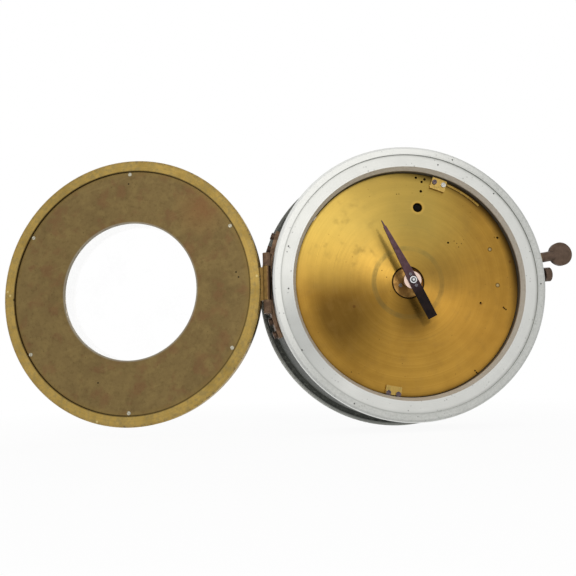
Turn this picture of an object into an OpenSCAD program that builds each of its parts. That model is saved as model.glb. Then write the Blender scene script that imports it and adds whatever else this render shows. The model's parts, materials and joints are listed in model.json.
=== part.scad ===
/* [Case] */
// Depth of the case from the back face to the front rim
case_depth = 70; // [66:1:90]
// Outside radius of the drum
case_r = 117.4; // [116:0.2:124]
// Distance that the back flange stands out from the drum
flange_over = 7.2; // [5.2:0.2:16]
// Thickness of the back flange
flange_t = 5; // [3:0.5:8]
// Size of the fillet between the flange and the drum
flange_fillet = 3; // [1:0.5:4]
// Thickness of the back wall
back_wall = 4; // [3:0.5:6]
// Thickness of the drum's side wall
side_wall = 5.4; // [4:0.2:7]
// Radius of the bore that the movement drops into
bore_r = 97.2; // [97:0.1:98.4]
// Width of the bevel at the mouth of the bore
bore_bevel_w = 2.5; // [0.5:0.1:3]
// Depth of the bevel at the mouth of the bore
bore_bevel_t = 4.2; // [1:0.1:6]
// Depth of the thick front ring
front_ring_t = 18; // [16:1:20]
// Share of the front ring that lies inside the step
step_share = 0.634; // [0.5:0.002:0.7]
// Height of the step in the front ring
step_h = 1.2; // [0.6:0.1:1.8]
// Rounding of the front rim
rim_round = 2.4; // [0.5:0.1:3]
// Distance of the circle of fixing holes from the inside of the drum
fixing_inset = 12; // [8:1:16]
// Radius of a fixing hole
fixing_hole_r = 2.75; // [2:0.05:3.5]
// Number of fixing holes
fixing_count = 4; // [3:1:6]

/* [Door] */
// Distance of the bezel's outside from that of the drum
bezel_inset = 2; // [1.8:0.1:3.4]
// Height of the bezel at its outer wall
bezel_side_t = 9; // [8:0.5:10]
// Height of the bezel at its front lip
bezel_t = 13.8; // [13.4:0.1:15]
// Width of the bezel from its outside to the opening in its front lip
lip_w = 16.9; // [16:0.1:19]
// Overlap of the glass behind the lip
glass_lap = 2.7; // [1.6:0.1:3.2]
// Thickness of the glass
glass_t = 2.2; // [1.8:0.1:2.4]
// Distance of the dial plate's edge from the bezel's outside
dial_inset = 9.7; // [8.4:0.1:10.4]
// Width of the dial plate from its edge to its hole
dial_w = 46.1; // [44:0.1:48]
// Thickness of the dial plate
dial_t = 2.4; // [1.6:0.1:2.6]
// Depth of the dial plate below the bezel's rear land
dial_drop = 1.2; // [0.8:0.1:1.8]
// Distance of the dial screws from the dial plate's edge
dial_screw_inset = 2.2; // [1.9:0.1:2.5]
// Number of dial screws
dial_screw_count = 6; // [4:1:8]

/* [Hinge] */
// Distance of the hinge axis from the outside of the drum
hinge_out = 3.8; // [3.6:0.1:5.6]
// Distance of the hinge axis behind the front rim
hinge_drop = 2.5; // [2:0.1:3]
// Radius of a hinge knuckle
knuckle_r = 3.3; // [3.2:0.1:4]
// Length of the middle knuckle
knuckle_l = 28; // [20:0.2:32]
// Length of an end knuckle
end_knuckle_l = 10.8; // [8:0.2:14]
// Height of the middle of the hinge above the middle of the clock
hinge_y = 0.4; // [0:0.1:4]
// Radius of the hinge pin
hinge_pin_r = 1.5; // [1.2:0.1:2]
// Thickness of the case leaf
leaf_t = 3.4; // [2.4:0.1:3.6]
// Depth of the case leaf along the side of the drum
leaf_depth = 16; // [12:1:24]
// Half of the angle that the case leaf covers
leaf_half = 22; // [18:1:26]

/* [Movement] */
// Clearance between the movement's front plate and the bore
bore_clear = 0.5; // [0.4:0.1:1.6]
// Thickness of the front plate
plate_t = 3.5; // [3:0.1:4]
// Distance of the front plate's face behind the front rim
plate_drop = 10.8; // [10:0.1:12]
// Angle that the movement stands turned clockwise in the case
movement_turn = 10.4; // [9:0.1:12]
// Radius of the hole in the middle of the front plate
aperture_r = 13; // [12:0.5:14]
// Radius of the winding hole
wind_hole_r = 3.8; // [3.4:0.1:4.4]
// Distance of the back plate's edge inside that of the front plate
back_plate_inset = 7.4; // [7.2:0.1:8.7]
// Thickness of the back plate
back_plate_t = 3; // [2:0.5:4]
// Distance between the two plates
plate_gap = 31.7; // [31:0.1:34]
// Radius of a pillar
pillar_r = 4; // [3:0.5:5]
// Distance of the pillars from the back plate's edge
pillar_inset = 10; // [8:1:12]

/* [Train] */
// Distance of the barrel from the middle of the clock
barrel_offset = 66.9; // [66.5:0.1:67.2]
// Radius of the mainspring barrel
drum_r = 23.4; // [22:0.1:23.6]
// Radius of the balance wheel
balance_r = 12; // [11:0.1:12.4]
// Thickness of the wheels
wheel_t = 1.8; // [1.4:0.1:2]

/* [Hand] */
// Distance of the hand's tip from the hole in the dial plate
hand_tip_gap = 3.1; // [2.6:0.1:9]
// Length of the hand's tail
hand_tail = 35; // [20:0.5:40]
// Width of the hand at its centre
hand_w = 8.4; // [7:0.1:9]
// Thickness of the hand
hand_t = 1.4; // [1:0.1:1.5]
// Angle of the hand, counted anticlockwise from twelve
hand_angle = 25.5; // [0:0.5:359.5]
// Radius of the collet disc under the hand
collet_r = 7.35; // [6.5:0.05:8]
// Height of the hand's back above the front rim
hand_lift = 3.6; // [2:0.1:7.5]

/* [Side controls] */
// Angle of the thumb key above the horizontal
key_angle = 9.65; // [9:0.05:10]
// Distance of the centre of the thumb key's head from the end of its bush
key_head_out = 20.1; // [16:0.1:26]
// Radius of the thumb key's round head
key_head_r = 10.4; // [8:0.1:12]
// Thickness of the thumb key's head
key_head_t = 3.2; // [2.4:0.1:4]
// Radius of the thumb key's shaft
key_shaft_r = 2.2; // [2:0.1:2.4]
// Angle of the push button above the horizontal
button_angle = 2.67; // [2:0.01:2.8]
// Radius of the push button's head
button_r = 6.2; // [5:0.1:6.4]
// Height of the push button's head
button_t = 6.4; // [4:0.1:8]
// Travel of the push button
button_travel = 3; // [2:0.1:3.4]
// Distance of both controls behind the front rim
control_drop = 18.5; // [18:0.1:19]

/* [Pose] */
// Angle at which the door stands open, where 0 is shut
door_open = 193; // [0:1:193]

/* [Hidden] */

// Curves are fine enough to show round
$fn = 96;
// Radial clearance of a fixed fit
fit = 0.05;
// Radial clearance of a turning or sliding fit
run = 0.07;
// Distance kept between pieces that move past each other
clear = 0.4;

// Teeth, leaves and modules of the train: each wheel drives the next arbor's pinion
barrel_teeth = 58;
barrel_module = 1;
inter_leaves = 10;
inter_teeth = 66;
inter_module = 0.9;
centre_leaves = 9;
centre_teeth = 60;
centre_module = 0.7;
third_leaves = 8;
third_teeth = 50;
third_module = 0.6;
escape_leaves = 8;

// Heights are counted forward from the back face of the case
cavity_r = case_r - side_wall;
flange_r = case_r + flange_over;
step_r = bore_r + step_share * (case_r - bore_r);
fixing_pcd_r = cavity_r - fixing_inset;
plate_r = bore_r - bore_clear;
back_plate_r = plate_r - back_plate_inset;
pillar_ring = back_plate_r - pillar_inset;
bezel_r = case_r - bezel_inset;
lip_r = bezel_r - lip_w;
glass_r = lip_r + glass_lap;
dial_r = bezel_r - dial_inset;
dial_hole_r = dial_r - dial_w;
dial_screw_ring = dial_r - dial_screw_inset;
hand_tip = dial_hole_r - hand_tip_gap;
hinge_x = case_r + hinge_out;
ring_back = case_depth - front_ring_t;
plate_front = case_depth - plate_drop;
plate_back = plate_front - plate_t;
back_plate_front = plate_back - plate_gap;
back_plate_back = back_plate_front - back_plate_t;
door_back = case_depth + clear;
control_z = case_depth - control_drop;
hinge_z = case_depth - hinge_drop;
hand_z = case_depth + hand_lift;

// The clock is drawn lying on its back: right is X, up the dial is Y, forward is Z
module upright() {
    rotate([90, 0, 0]) children();
}

// Everything on the movement stands a little clockwise in the case
module in_movement() {
    upright() rotate([0, 0, -movement_turn]) children();
}

// A place on a radius of the case: the child's Z points outward
module radial(angle, height) {
    upright() rotate([0, 0, angle]) translate([0, 0, height]) rotate([0, 90, 0]) children();
}

// Everything on the door turns about the hinge axis
module on_door() {
    upright() translate([-hinge_x, 0, hinge_z]) rotate([0, -door_open, 0])
        translate([hinge_x, 0, -hinge_z]) children();
}

// A ring or tube from one height to another
module tube(r_out, r_in, from, to) {
    translate([0, 0, from]) difference() {
        cylinder(r = r_out, h = to - from);
        translate([0, 0, -1]) cylinder(r = r_in, h = to - from + 2);
    }
}

// A plain cylinder from one height to another
module rod(r, from, to) {
    translate([0, 0, from]) cylinder(r = r, h = to - from);
}

// A piece of a ring between two angles
module ring_piece(r_in, r_out, from_angle, to_angle, thickness) {
    rotate([0, 0, from_angle]) rotate_extrude(angle = to_angle - from_angle)
        translate([r_in, 0]) square([r_out - r_in, thickness]);
}

// A cheese-head screw standing on height zero, head up, with its slot
module screw(head_r, head_h, shank_r, shank_l, slot_turn = 0) {
    difference() {
        cylinder(r = head_r, h = head_h);
        rotate([0, 0, slot_turn]) translate([0, 0, head_h])
            cube([head_r * 3, head_r * 0.36, head_h], center = true);
    }
    translate([0, 0, -shank_l]) cylinder(r = shank_r, h = shank_l);
}

function polar(r, angle) = [r * cos(angle), r * sin(angle)];

/* Clock case */
// Places of the two clamps, as angle and radius
top_clamp_angle = 70;
clamp_out = plate_r - 0.5;
top_clamp_l = 10.2;
top_clamp_in = clamp_out - top_clamp_l;
bottom_clamp_angle = 258.9;
bottom_clamp_l = 7.2;
bottom_clamp_in = clamp_out - bottom_clamp_l;
clamp_t = 2.4;
clamp_half_w = 6.6;
clamp_screw_r = 1.2;
clamp_screw_in = 6;
// Angle of a clamp screw either side of its clamp's middle
clamp_screw_turn = 2.5575;
lug_lap = 7;
lug_r = plate_r - lug_lap;
lug_half = 8;
clamp_angles = [top_clamp_angle, bottom_clamp_angle];
clamp_ins = [top_clamp_in, bottom_clamp_in];

// Side controls run through bosses inside the wall
boss_r = 7.6;
bush_r = 5;
spot_r = 6.9;
spot_at = case_r - 0.4;
bush_stand = 6.2;
bush_out = case_r + bush_stand;

// Relief for the middle knuckle in the front rim
relief_r = knuckle_r + 1;

module control_place(angle) {
    rotate([0, 0, angle]) translate([0, 0, control_z]) rotate([0, 90, 0]) children();
}

module case() color("#c9ccca") upright() difference() {
    union() {
        rotate_extrude($fn = 180) polygon([
            [0, 0], [flange_r - 1, 0], [flange_r, 1], [flange_r, flange_t - 1], [flange_r - 1, flange_t],
            [case_r + flange_fillet, flange_t],
            [case_r + flange_fillet * 0.3, flange_t + flange_fillet * 0.3],
            [case_r, flange_t + flange_fillet], [case_r, case_depth - rim_round],
            [case_r - rim_round * 0.3, case_depth - rim_round * 0.3],
            [case_r - rim_round, case_depth], [step_r, case_depth], [step_r, case_depth - step_h],
            [bore_r + bore_bevel_w, case_depth - step_h],
            [bore_r, case_depth - step_h - bore_bevel_t], [bore_r, ring_back],
            [cavity_r, ring_back], [cavity_r, back_wall], [0, back_wall]]);
        for (k = [0, 1])
            translate([0, 0, ring_back])
                ring_piece(lug_r, bore_r + 1, clamp_angles[k] - lug_half, clamp_angles[k] + lug_half,
                    plate_back - ring_back);
        intersection() {
            for (angle = [key_angle, button_angle])
                control_place(angle) rod(boss_r, boss_in, cavity_r + 1);
            rod(cavity_r + 1, back_wall, plate_back - 1);
        }
    }
    for (k = [0:fixing_count - 1])
        rotate([0, 0, 45 + k * 360 / fixing_count]) translate([fixing_pcd_r, 0, -1])
            cylinder(r = fixing_hole_r, h = back_wall + 2);
    for (angle = [key_angle, button_angle]) {
        control_place(angle) rod(bush_r, bush_hole_from, case_r + 1);
        control_place(angle) rod(spot_r, spot_at, case_r + 2);
    }
    clamp_screw_places() translate([0, 0, ring_back - 1]) cylinder(r = clamp_screw_r, h = front_ring_t);
    translate([-hinge_x, hinge_y, hinge_z]) rotate([90, 0, 0])
        cylinder(r = relief_r, h = knuckle_l + 1, center = true);
    for (y = leaf_screw_ys) leaf_screw_place(y) rod(leaf_screw_r, -leaf_t - side_wall, 0);
}

/* Plates */
// Centres of the barrel, the train and the balance, in the movement's own frame
barrel_at = [0, barrel_offset];
barrel_pitch_r = barrel_teeth * barrel_module / 2;
inter_pinion_r = inter_leaves * barrel_module / 2;
inter_pitch_r = inter_teeth * inter_module / 2;
centre_pinion_r = centre_leaves * inter_module / 2;
centre_pitch_r = centre_teeth * centre_module / 2;
third_pinion_r = third_leaves * centre_module / 2;
third_pitch_r = third_teeth * third_module / 2;
escape_pinion_r = escape_leaves * third_module / 2;
barrel_to_inter = barrel_pitch_r + inter_pinion_r;
inter_to_centre = inter_pitch_r + centre_pinion_r;
centre_to_third = centre_pitch_r + third_pinion_r;
third_to_escape = third_pitch_r + escape_pinion_r;
inter_y = (inter_to_centre * inter_to_centre - barrel_to_inter * barrel_to_inter
    + barrel_offset * barrel_offset) / (2 * barrel_offset);
inter_at = [-sqrt(inter_to_centre * inter_to_centre - inter_y * inter_y), inter_y];
third_dir = 5;
third_at = polar(centre_to_third, third_dir);
escape_dir = 20;
escape_at = third_at + polar(third_to_escape, escape_dir);
lever_dir = 17;
escape_to_lever = 10.4;
lever_to_balance = 14.2;
lever_at = escape_at + polar(escape_to_lever, lever_dir);
balance_at = lever_at + polar(lever_to_balance, lever_dir);

// The stop lever's pivot stands outside the balance, the crank beyond the lever and the bosses beyond that
stop_hub_gap = 2.62;
stop_to_crank = 12.6;
crank_to_boss = 11.4;
stop_pivot_r = norm(balance_at) + balance_r + stop_hub_gap;
crank_at = stop_pivot_r + stop_to_crank;
boss_in = crank_at + crank_to_boss;
bush_in = boss_in + 1;
bush_hole_from = min(bore_r, boss_in) - 2;

pivot_r = 0.8;
pivot_l = 2;
centre_back_r = 1.2;
centre_bearing_r = 2.4;
barrel_bearing_r = 3;
wind_step_t = 1.6;

// Small drilled holes in the front plate, as distance from its edge, angle on the dial and radius
plate_holes = [
    [3.4, 82.6, 1.1], [3.6, 77.8, 1.2], [6.4, 79.2, 1.1], [14.9, 78.9, 1.2],
    [6.5, 25, 1.0], [46.1, 42.5, 0.9], [31.3, -16.8, 0.8]];
bracket_screw_at = [78.9, -3.8];
bracket_pin_at = [74.3, 27.8];
bracket_hole_r = 1.5;

module clamp_screw_places() {
    for (k = [0, 1]) for (side = [-1, 1])
        rotate([0, 0, clamp_angles[k] + side * clamp_screw_turn])
            translate([clamp_ins[k] + clamp_screw_in, 0, 0]) children();
}

module front_plate() color("#b8923a") upright() difference() {
    rod(plate_r, plate_back, plate_front);
    rod(aperture_r, plate_back - 1, plate_front + 1);
    for (h = plate_holes) translate(polar(plate_r - h[0], h[1])) rod(h[2], plate_back - 1, plate_front + 1);
    for (h = [bracket_screw_at, bracket_pin_at])
        translate([h[0], h[1], plate_back - 1]) cylinder(r = bracket_hole_r, h = plate_t + 2);
    clamp_screw_places() rod(clamp_screw_r, plate_back - 1, plate_front + 1);
    rotate([0, 0, -movement_turn]) {
        translate(barrel_at) {
            rod(barrel_bearing_r + run, plate_back - 1, plate_front);
            rod(wind_hole_r, plate_front - wind_step_t, plate_front + 1);
            translate([0, 0, plate_front - 0.5]) cylinder(r1 = wind_hole_r, r2 = wind_hole_r + 0.7, h = 0.7);
        }
        for (p = [inter_at, third_at, escape_at, lever_at, balance_at])
            translate(p) rod(pivot_r + run, plate_back - 1, plate_back + pivot_l + 0.2);
        for (k = [0:3]) rotate([0, 0, 45 + 90 * k]) translate([pillar_ring, 0, 0])
            rod(pillar_tenon_r + fit, plate_back - 1, plate_back + pillar_tenon_l + 0.2);
        for (k = [0:1]) rotate([0, 0, bridge_dir + 180 * k]) translate([bridge_screw_ring, 0, 0])
            rod(bridge_screw_r + fit, plate_back - 1, plate_back + 2.2);
        translate(stud_at) rod(stud_r + fit, plate_back - 1, plate_back + pivot_l);
    }
}

module back_plate() color("#b8923a") in_movement() difference() {
    rod(back_plate_r, back_plate_back, back_plate_front);
    for (p = [inter_at, third_at, escape_at, lever_at, balance_at])
        translate(p) rod(pivot_r + run, back_plate_back - 1, back_plate_front + 1);
    rod(centre_back_r + run, back_plate_back - 1, back_plate_front + 1);
    translate(barrel_at) rod(barrel_bearing_r + run, back_plate_back - 1, back_plate_front + 1);
    for (k = [0:3]) rotate([0, 0, 45 + 90 * k]) translate([pillar_ring, 0, 0])
        rod(pillar_screw_r + fit, back_plate_back - 1, back_plate_front + 1);
    translate(click_at) rod(click_screw_r + fit, back_plate_back - 1, back_plate_front + 1);
    translate(click_spring_at) rod(click_screw_r + fit, back_plate_back - 1, back_plate_front + 1);
}

pillar_tenon_r = 2;
pillar_tenon_l = 2;
pillar_screw_r = 1.5;
pillar_screw_l = 8;

module pillars() color("#c4a04a") in_movement()
    for (k = [0:3]) rotate([0, 0, 45 + 90 * k]) translate([pillar_ring, 0, 0]) difference() {
        union() {
            rod(pillar_r, back_plate_front, plate_back);
            rod(pillar_tenon_r, plate_back, plate_back + pillar_tenon_l);
        }
        rod(pillar_screw_r + fit, back_plate_front - 1, back_plate_front + pillar_screw_l);
    }

module pillar_screws() color("#4a5160") in_movement()
    for (k = [0:3]) rotate([0, 0, 45 + 90 * k])
        translate([pillar_ring, 0, back_plate_back]) rotate([180, 0, 0])
            screw(3.2, 1.8, pillar_screw_r, back_plate_t + pillar_screw_l - 1, 20 + 50 * k);

/* Clamps */
// A clamp is a small block that holds the front plate down on a lug
module clamp(k) upright() rotate([0, 0, clamp_angles[k]]) difference() {
    intersection() {
        translate([clamp_ins[k], -clamp_half_w, plate_front])
            cube([clamp_out - clamp_ins[k] + 2, 2 * clamp_half_w, clamp_t]);
        rod(clamp_out, plate_front - 1, plate_front + clamp_t + 1);
    }
    for (side = [-1, 1]) rotate([0, 0, side * clamp_screw_turn])
        translate([clamp_ins[k] + clamp_screw_in, 0, 0])
            rod(clamp_screw_r + fit, plate_front - 1, plate_front + clamp_t + 1);
}

module top_clamp() color("#c9ab57") clamp(0);
module bottom_clamp() color("#c9ab57") clamp(1);

module clamp_screws() color("#3f4658") upright()
    for (k = [0, 1]) for (side = [-1, 1])
        rotate([0, 0, clamp_angles[k] + side * clamp_screw_turn])
            translate([clamp_ins[k] + clamp_screw_in, 0, plate_front + clamp_t])
                screw(2.1, 1.1, clamp_screw_r - fit, clamp_t + plate_t + 3, 40 + 75 * side + 30 * k);

// A strip spring that lies on the plate along the bore, beside the top clamp
edge_spring_inset = 2.7;
edge_spring_r = plate_r - edge_spring_inset;
edge_spring_from = 45.5;
edge_spring_to = 65.2;
edge_spring_w = 1.6;
edge_spring_t = 1.2;
module edge_spring() color("#b79a50") upright() translate([0, 0, plate_front]) {
    ring_piece(edge_spring_r - edge_spring_w / 2, edge_spring_r + edge_spring_w / 2,
        edge_spring_from, edge_spring_to, edge_spring_t);
    rotate([0, 0, edge_spring_from]) translate([edge_spring_r, 0, 0])
        cylinder(r = edge_spring_w / 2, h = edge_spring_t);
}

/* Bridge behind the aperture */
bridge_t = 2.4;
bridge_r = 17;
bridge_dir = 250;
bridge_screw_ring = 15;
bridge_screw_r = 1;
bridge_small_at = polar(6.3, 209);
module centre_bridge() color("#8a6632") in_movement() difference() {
    rod(bridge_r, plate_back - bridge_t, plate_back);
    rod(centre_bearing_r + run, plate_back - bridge_t - 1, plate_back + 1);
    for (k = [0:1]) rotate([0, 0, bridge_dir + 180 * k]) translate([bridge_screw_ring, 0, 0])
        rod(bridge_screw_r + fit, plate_back - bridge_t - 1, plate_back + 1);
    translate(bridge_small_at) rod(0.9 + fit, plate_back - bridge_t + 0.4, plate_back + 1);
}

module bridge_screws() color("#8d8f92") in_movement() {
    for (k = [0:1]) rotate([0, 0, bridge_dir + 180 * k])
        translate([bridge_screw_ring, 0, plate_back - bridge_t]) rotate([180, 0, 0])
            screw(1.7, 0.9, bridge_screw_r, bridge_t + 2, 30);
    translate([bridge_small_at[0], bridge_small_at[1], plate_back]) screw(1.6, 0.9, 0.9, 1.8, 15);
}

/* Bracket of the stop lever */
bracket_t = 1.5;
bracket_w = 7;
stop_pivot_at = polar(stop_pivot_r, key_angle);
stop_arm = 10;
stop_swing = 15;
stop_lever_z = control_z - 2.6;
stop_lever_t = 2;
stop_screw_r = 1.5;
module control_bracket() color("#b8923a") upright() difference() {
    translate([0, 0, plate_back - bracket_t]) linear_extrude(bracket_t) union() {
        polygon([
            bracket_screw_at + [-bracket_w / 2, 0], bracket_screw_at + [bracket_w / 2, 0],
            stop_pivot_at + [bracket_w / 2 - 1, 0], bracket_pin_at + [bracket_w / 2, 1],
            bracket_pin_at + [-bracket_w / 2, -1], stop_pivot_at + [-bracket_w / 2 - 1, 0]]);
        translate(bracket_screw_at) circle(r = bracket_w / 2);
        translate(bracket_pin_at) circle(r = bracket_w / 2);
    }
    for (p = [bracket_screw_at, bracket_pin_at])
        translate(p) rod(bracket_hole_r, plate_back - bracket_t - 1, plate_back + 1);
    translate(stop_pivot_at) rod(stop_screw_r + fit, plate_back - bracket_t - 1, plate_back + 1);
}

// A screw and a round pin hold the bracket, and both show flush in the front plate
module bracket_screws() color("#b9b4a6") upright() {
    translate([bracket_screw_at[0], bracket_screw_at[1], 0]) difference() {
        rod(bracket_hole_r - fit, plate_back - bracket_t, plate_front + 0.1);
        translate([0, 0, plate_front + 0.1]) rotate([0, 0, 35]) cube([6, 0.5, 0.8], center = true);
    }
    translate([bracket_pin_at[0], bracket_pin_at[1], 0]) difference() {
        rod(bracket_hole_r - fit, plate_back - bracket_t, plate_front + 0.1);
        rod(0.8, plate_front - 0.5, plate_front + 1);
    }
}

/* Hinge */
leaf_front = hinge_z - knuckle_r - clear;
leaf_screw_r = 1.4;
leaf_screw_head_r = 3;
leaf_screw_head_t = 3.2;
leaf_screw_ys = [-41.5, -30.5, 30.5, 41.5];
leaf_z = leaf_front - leaf_depth / 2;
leaf_out = case_r + leaf_t;
hinge_l = knuckle_l + 2 * end_knuckle_l;
pin_hole_l = hinge_l + 20;
knuckle_foot = knuckle_r - 0.4;

// A place on the outside of the case leaf at a height on the dial
module leaf_screw_place(y) {
    rotate([0, 0, 180 - asin(y / leaf_out)]) translate([leaf_out, 0, leaf_z]) rotate([0, 90, 0]) children();
}

// An end knuckle with the foot that joins it to the leaf
module end_knuckle() linear_extrude(end_knuckle_l) union() {
    circle(r = knuckle_r);
    polygon([[-knuckle_foot, -0.6], [-knuckle_foot, -knuckle_r], [0.2, -knuckle_r - 8],
        [hinge_x - case_r + 3, -knuckle_r - 8], [hinge_x - case_r + 3, -knuckle_r - 1], [1, -0.6]]);
}

// The case leaf hugs the drum and carries the two end knuckles
module case_leaf() color("#6f5b43") upright() difference() {
    union() {
        translate([0, 0, leaf_front - leaf_depth])
            ring_piece(case_r + fit, leaf_out, 180 - leaf_half, 180 + leaf_half, leaf_depth);
        difference() {
            for (side = [-1, 1])
                translate([-hinge_x, hinge_y + side * (knuckle_l + end_knuckle_l) / 2 + side * 0.3, hinge_z])
                    rotate([90, 0, 0]) translate([0, 0, -end_knuckle_l / 2]) end_knuckle();
            rod(case_r + leaf_t / 2, 0, case_depth + 1);
        }
    }
    translate([-hinge_x, 0, hinge_z]) rotate([90, 0, 0])
        cylinder(r = hinge_pin_r + fit, h = pin_hole_l, center = true);
    for (y = leaf_screw_ys) leaf_screw_place(y) translate([0, 0, -leaf_t - 1])
        cylinder(r = leaf_screw_r + fit, h = leaf_t + 2);
}

module leaf_screws() color("#4b3b2e") upright()
    for (y = leaf_screw_ys) leaf_screw_place(y)
        screw(leaf_screw_head_r, leaf_screw_head_t, leaf_screw_r - fit, leaf_t + side_wall - 1, y * 3);

hinge_pin_over = 0.6;
module hinge_pin() color("#7d6a4c") upright() translate([-hinge_x, hinge_y, hinge_z]) rotate([90, 0, 0])
    cylinder(r = hinge_pin_r, h = hinge_l + 2 * hinge_pin_over, center = true);

// Middle knuckle with the arm that is screwed to the side of the bezel
arm_top = door_back + bezel_side_t - 0.8 - hinge_z;
arm_screw_ys = [-7, 9];
arm_screw_z = door_back + 4.6;
arm_screw_r = 1.2;
arm_screw_head_r = 2.4;
arm_screw_sink = 2;
module door_leaf() color("#8a6c33") on_door() difference() {
    translate([-hinge_x, hinge_y, hinge_z]) rotate([90, 0, 0]) {
        cylinder(r = knuckle_r, h = knuckle_l, center = true);
        translate([0, 0, -knuckle_l / 2]) linear_extrude(knuckle_l) polygon([
            [0.8, knuckle_r - 0.2], [2.6, arm_top], [hinge_x - bezel_r + 2, arm_top],
            [hinge_x - bezel_r + 2, door_back - hinge_z + 0.3], [knuckle_r - 0.2, door_back - hinge_z + 0.3],
            [knuckle_r - 0.1, 0]]);
    }
    rod(bezel_r + fit, case_depth - 10, case_depth + 30);
    translate([-hinge_x, 0, hinge_z]) rotate([90, 0, 0])
        cylinder(r = hinge_pin_r + run, h = pin_hole_l, center = true);
    for (y = arm_screw_ys) arm_screw_place(y) translate([0, 0, -1]) cylinder(r = arm_screw_r + fit, h = 20);
    for (y = arm_screw_ys) arm_screw_place(y) cylinder(r = arm_screw_head_r, h = arm_screw_sink);
}

// A place on the outer face of the door arm, pointing into the bezel
module arm_screw_place(y) {
    translate([-hinge_x + 1.2, y, arm_screw_z]) rotate([0, 90, 0]) children();
}

module door_leaf_screws() color("#6d5a3a") on_door()
    for (y = arm_screw_ys) arm_screw_place(y) translate([0, 0, arm_screw_sink]) rotate([180, 0, 0])
        screw(arm_screw_head_r - 0.1, 1.2, arm_screw_r, 8, 30 + y * 5);

/* Door */
dial_back_z = door_back + dial_drop;
dial_front_z = dial_back_z + dial_t;
glass_front_z = door_back + bezel_t - 1.3;
glass_back_z = glass_front_z - glass_t;
glass_seat_r = glass_r + 0.2;
dial_seat_r = dial_r + 0.2;

module bezel_ring() color("#a88a3e") on_door() difference() {
    rotate_extrude($fn = 180) translate([0, door_back]) polygon([
        [dial_seat_r, 0], [bezel_r - 1, 0], [bezel_r, 0.9], [bezel_r, bezel_side_t - 0.6],
        [bezel_r - 0.6, bezel_side_t], [bezel_r - 4.4, bezel_side_t + 0.4], [bezel_r - 5, bezel_side_t + 1.4],
        [bezel_r - 6.4, bezel_side_t + 3], [bezel_r - 8.6, bezel_t - 0.6], [bezel_r - 11, bezel_t],
        [lip_r + 0.6, bezel_t], [lip_r, bezel_t - 0.6], [lip_r, bezel_t - 1.3], [glass_seat_r, bezel_t - 1.3],
        [glass_seat_r, dial_drop + dial_t], [dial_seat_r, dial_drop + dial_t]]);
    dial_screw_places() rod(dial_screw_r, dial_back_z - 1, dial_front_z + 4);
    for (y = arm_screw_ys) arm_screw_place(y) cylinder(r = arm_screw_r + fit, h = 11.5);
}

dial_screw_r = 0.9;
dial_head_r = 1.6;
dial_head_t = 0.8;
module dial_screw_places() {
    for (k = [0:dial_screw_count - 1])
        rotate([0, 0, 90 + k * 360 / dial_screw_count]) translate([dial_screw_ring, 0, 0]) children();
}

module dial_plate() color("#84713e") on_door() difference() {
    tube(dial_r, dial_hole_r, dial_back_z, dial_front_z);
    dial_screw_places() rod(dial_screw_r + fit, dial_back_z - 1, dial_front_z + 1);
    dial_screw_places() rod(dial_head_r + fit, dial_back_z - 1, dial_back_z + dial_head_t);
}

module dial_screws() color("#a9a08a") on_door() dial_screw_places()
    translate([0, 0, dial_back_z + dial_head_t]) rotate([180, 0, 0])
        screw(dial_head_r, dial_head_t + 0.15, dial_screw_r - fit, dial_t + 2, 60);

module glass() color("#dfe8ea", 0.3) on_door() rod(glass_r, glass_back_z, glass_front_z);

module glass_spacer() color("#b8923a") on_door() tube(glass_r, glass_r - 2.4, dial_front_z, glass_back_z);

/* Side controls */
key_neck_r = 4.4;
key_neck_at = bush_out + 0.5;
key_collar_r = 4;
key_head_at = bush_out + key_head_out;
crank_r = 3.4;
crank_t = 2.4;
crank_offset = stop_arm * tan(stop_swing / 2) / sin(45);
crank_pin_r = 1;
crank_pin_l = 4;
button_stand = 7.5;
button_out = bush_out + button_stand;
button_shaft_r = 1.6;
button_in = boss_in - 3;
spring_well_r = 4.2;
spring_well_at = bush_in + 3;

// A bush is pressed in from outside up to its flange
module bush_body(out) {
    rod(bush_r - fit, bush_in, spot_at + 1);
    rod(spot_r - 0.4, spot_at, spot_at + 2.4);
    rod(bush_r + 0.8, spot_at, out);
}

module key_bush() color("#7a6a4a") radial(key_angle, control_z) difference() {
    bush_body(bush_out);
    rod(key_shaft_r + run, bush_in - 1, bush_out + 1);
}

button_bush_out = button_out - button_t - button_travel - clear;
module button_bush() color("#7a6a4a") radial(button_angle, control_z) difference() {
    bush_body(button_bush_out);
    rod(button_shaft_r + run, bush_in - 1, bush_out + 1);
    rod(spring_well_r, spring_well_at, bush_out + 1);
}

// The key has a round flat head, a neck, a shaft and a crank pin at its inner end
module thumb_key() color("#5a4636") radial(key_angle, control_z) {
    translate([0, 0, key_head_at]) rotate([0, 90, 0]) cylinder(r = key_head_r, h = key_head_t, center = true);
    rod(key_neck_r, key_neck_at, key_head_at - key_head_r + 3.4);
    rod(key_shaft_r, crank_at, key_neck_at + 1);
    rod(crank_r, crank_at, crank_at + crank_t);
    rotate([0, 0, -45]) translate([0, 0, crank_at - crank_pin_l]) translate(crank_to_pin)
        cylinder(r = crank_pin_r, h = crank_pin_l + 1);
}
crank_to_pin = [crank_offset, 0, 0];

// A collar on the shaft keeps the key from pulling out
module key_collar() color("#6a5a44") radial(key_angle, control_z)
    tube(key_collar_r, key_shaft_r + fit, bush_in - clear - 2.4, bush_in - clear);

module push_button() color("#6a5646") radial(button_angle, control_z) {
    rod(button_r, button_out - button_t, button_out - 0.8);
    translate([0, 0, button_out - 0.8]) cylinder(r1 = button_r, r2 = button_r - 1.6, h = 0.8);
    rod(button_shaft_r, button_in, button_out - 1);
}

module button_collar() color("#6a5a44") radial(button_angle, control_z)
    tube(3.6, button_shaft_r + fit, bush_in - clear - 2, bush_in - clear);

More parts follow.
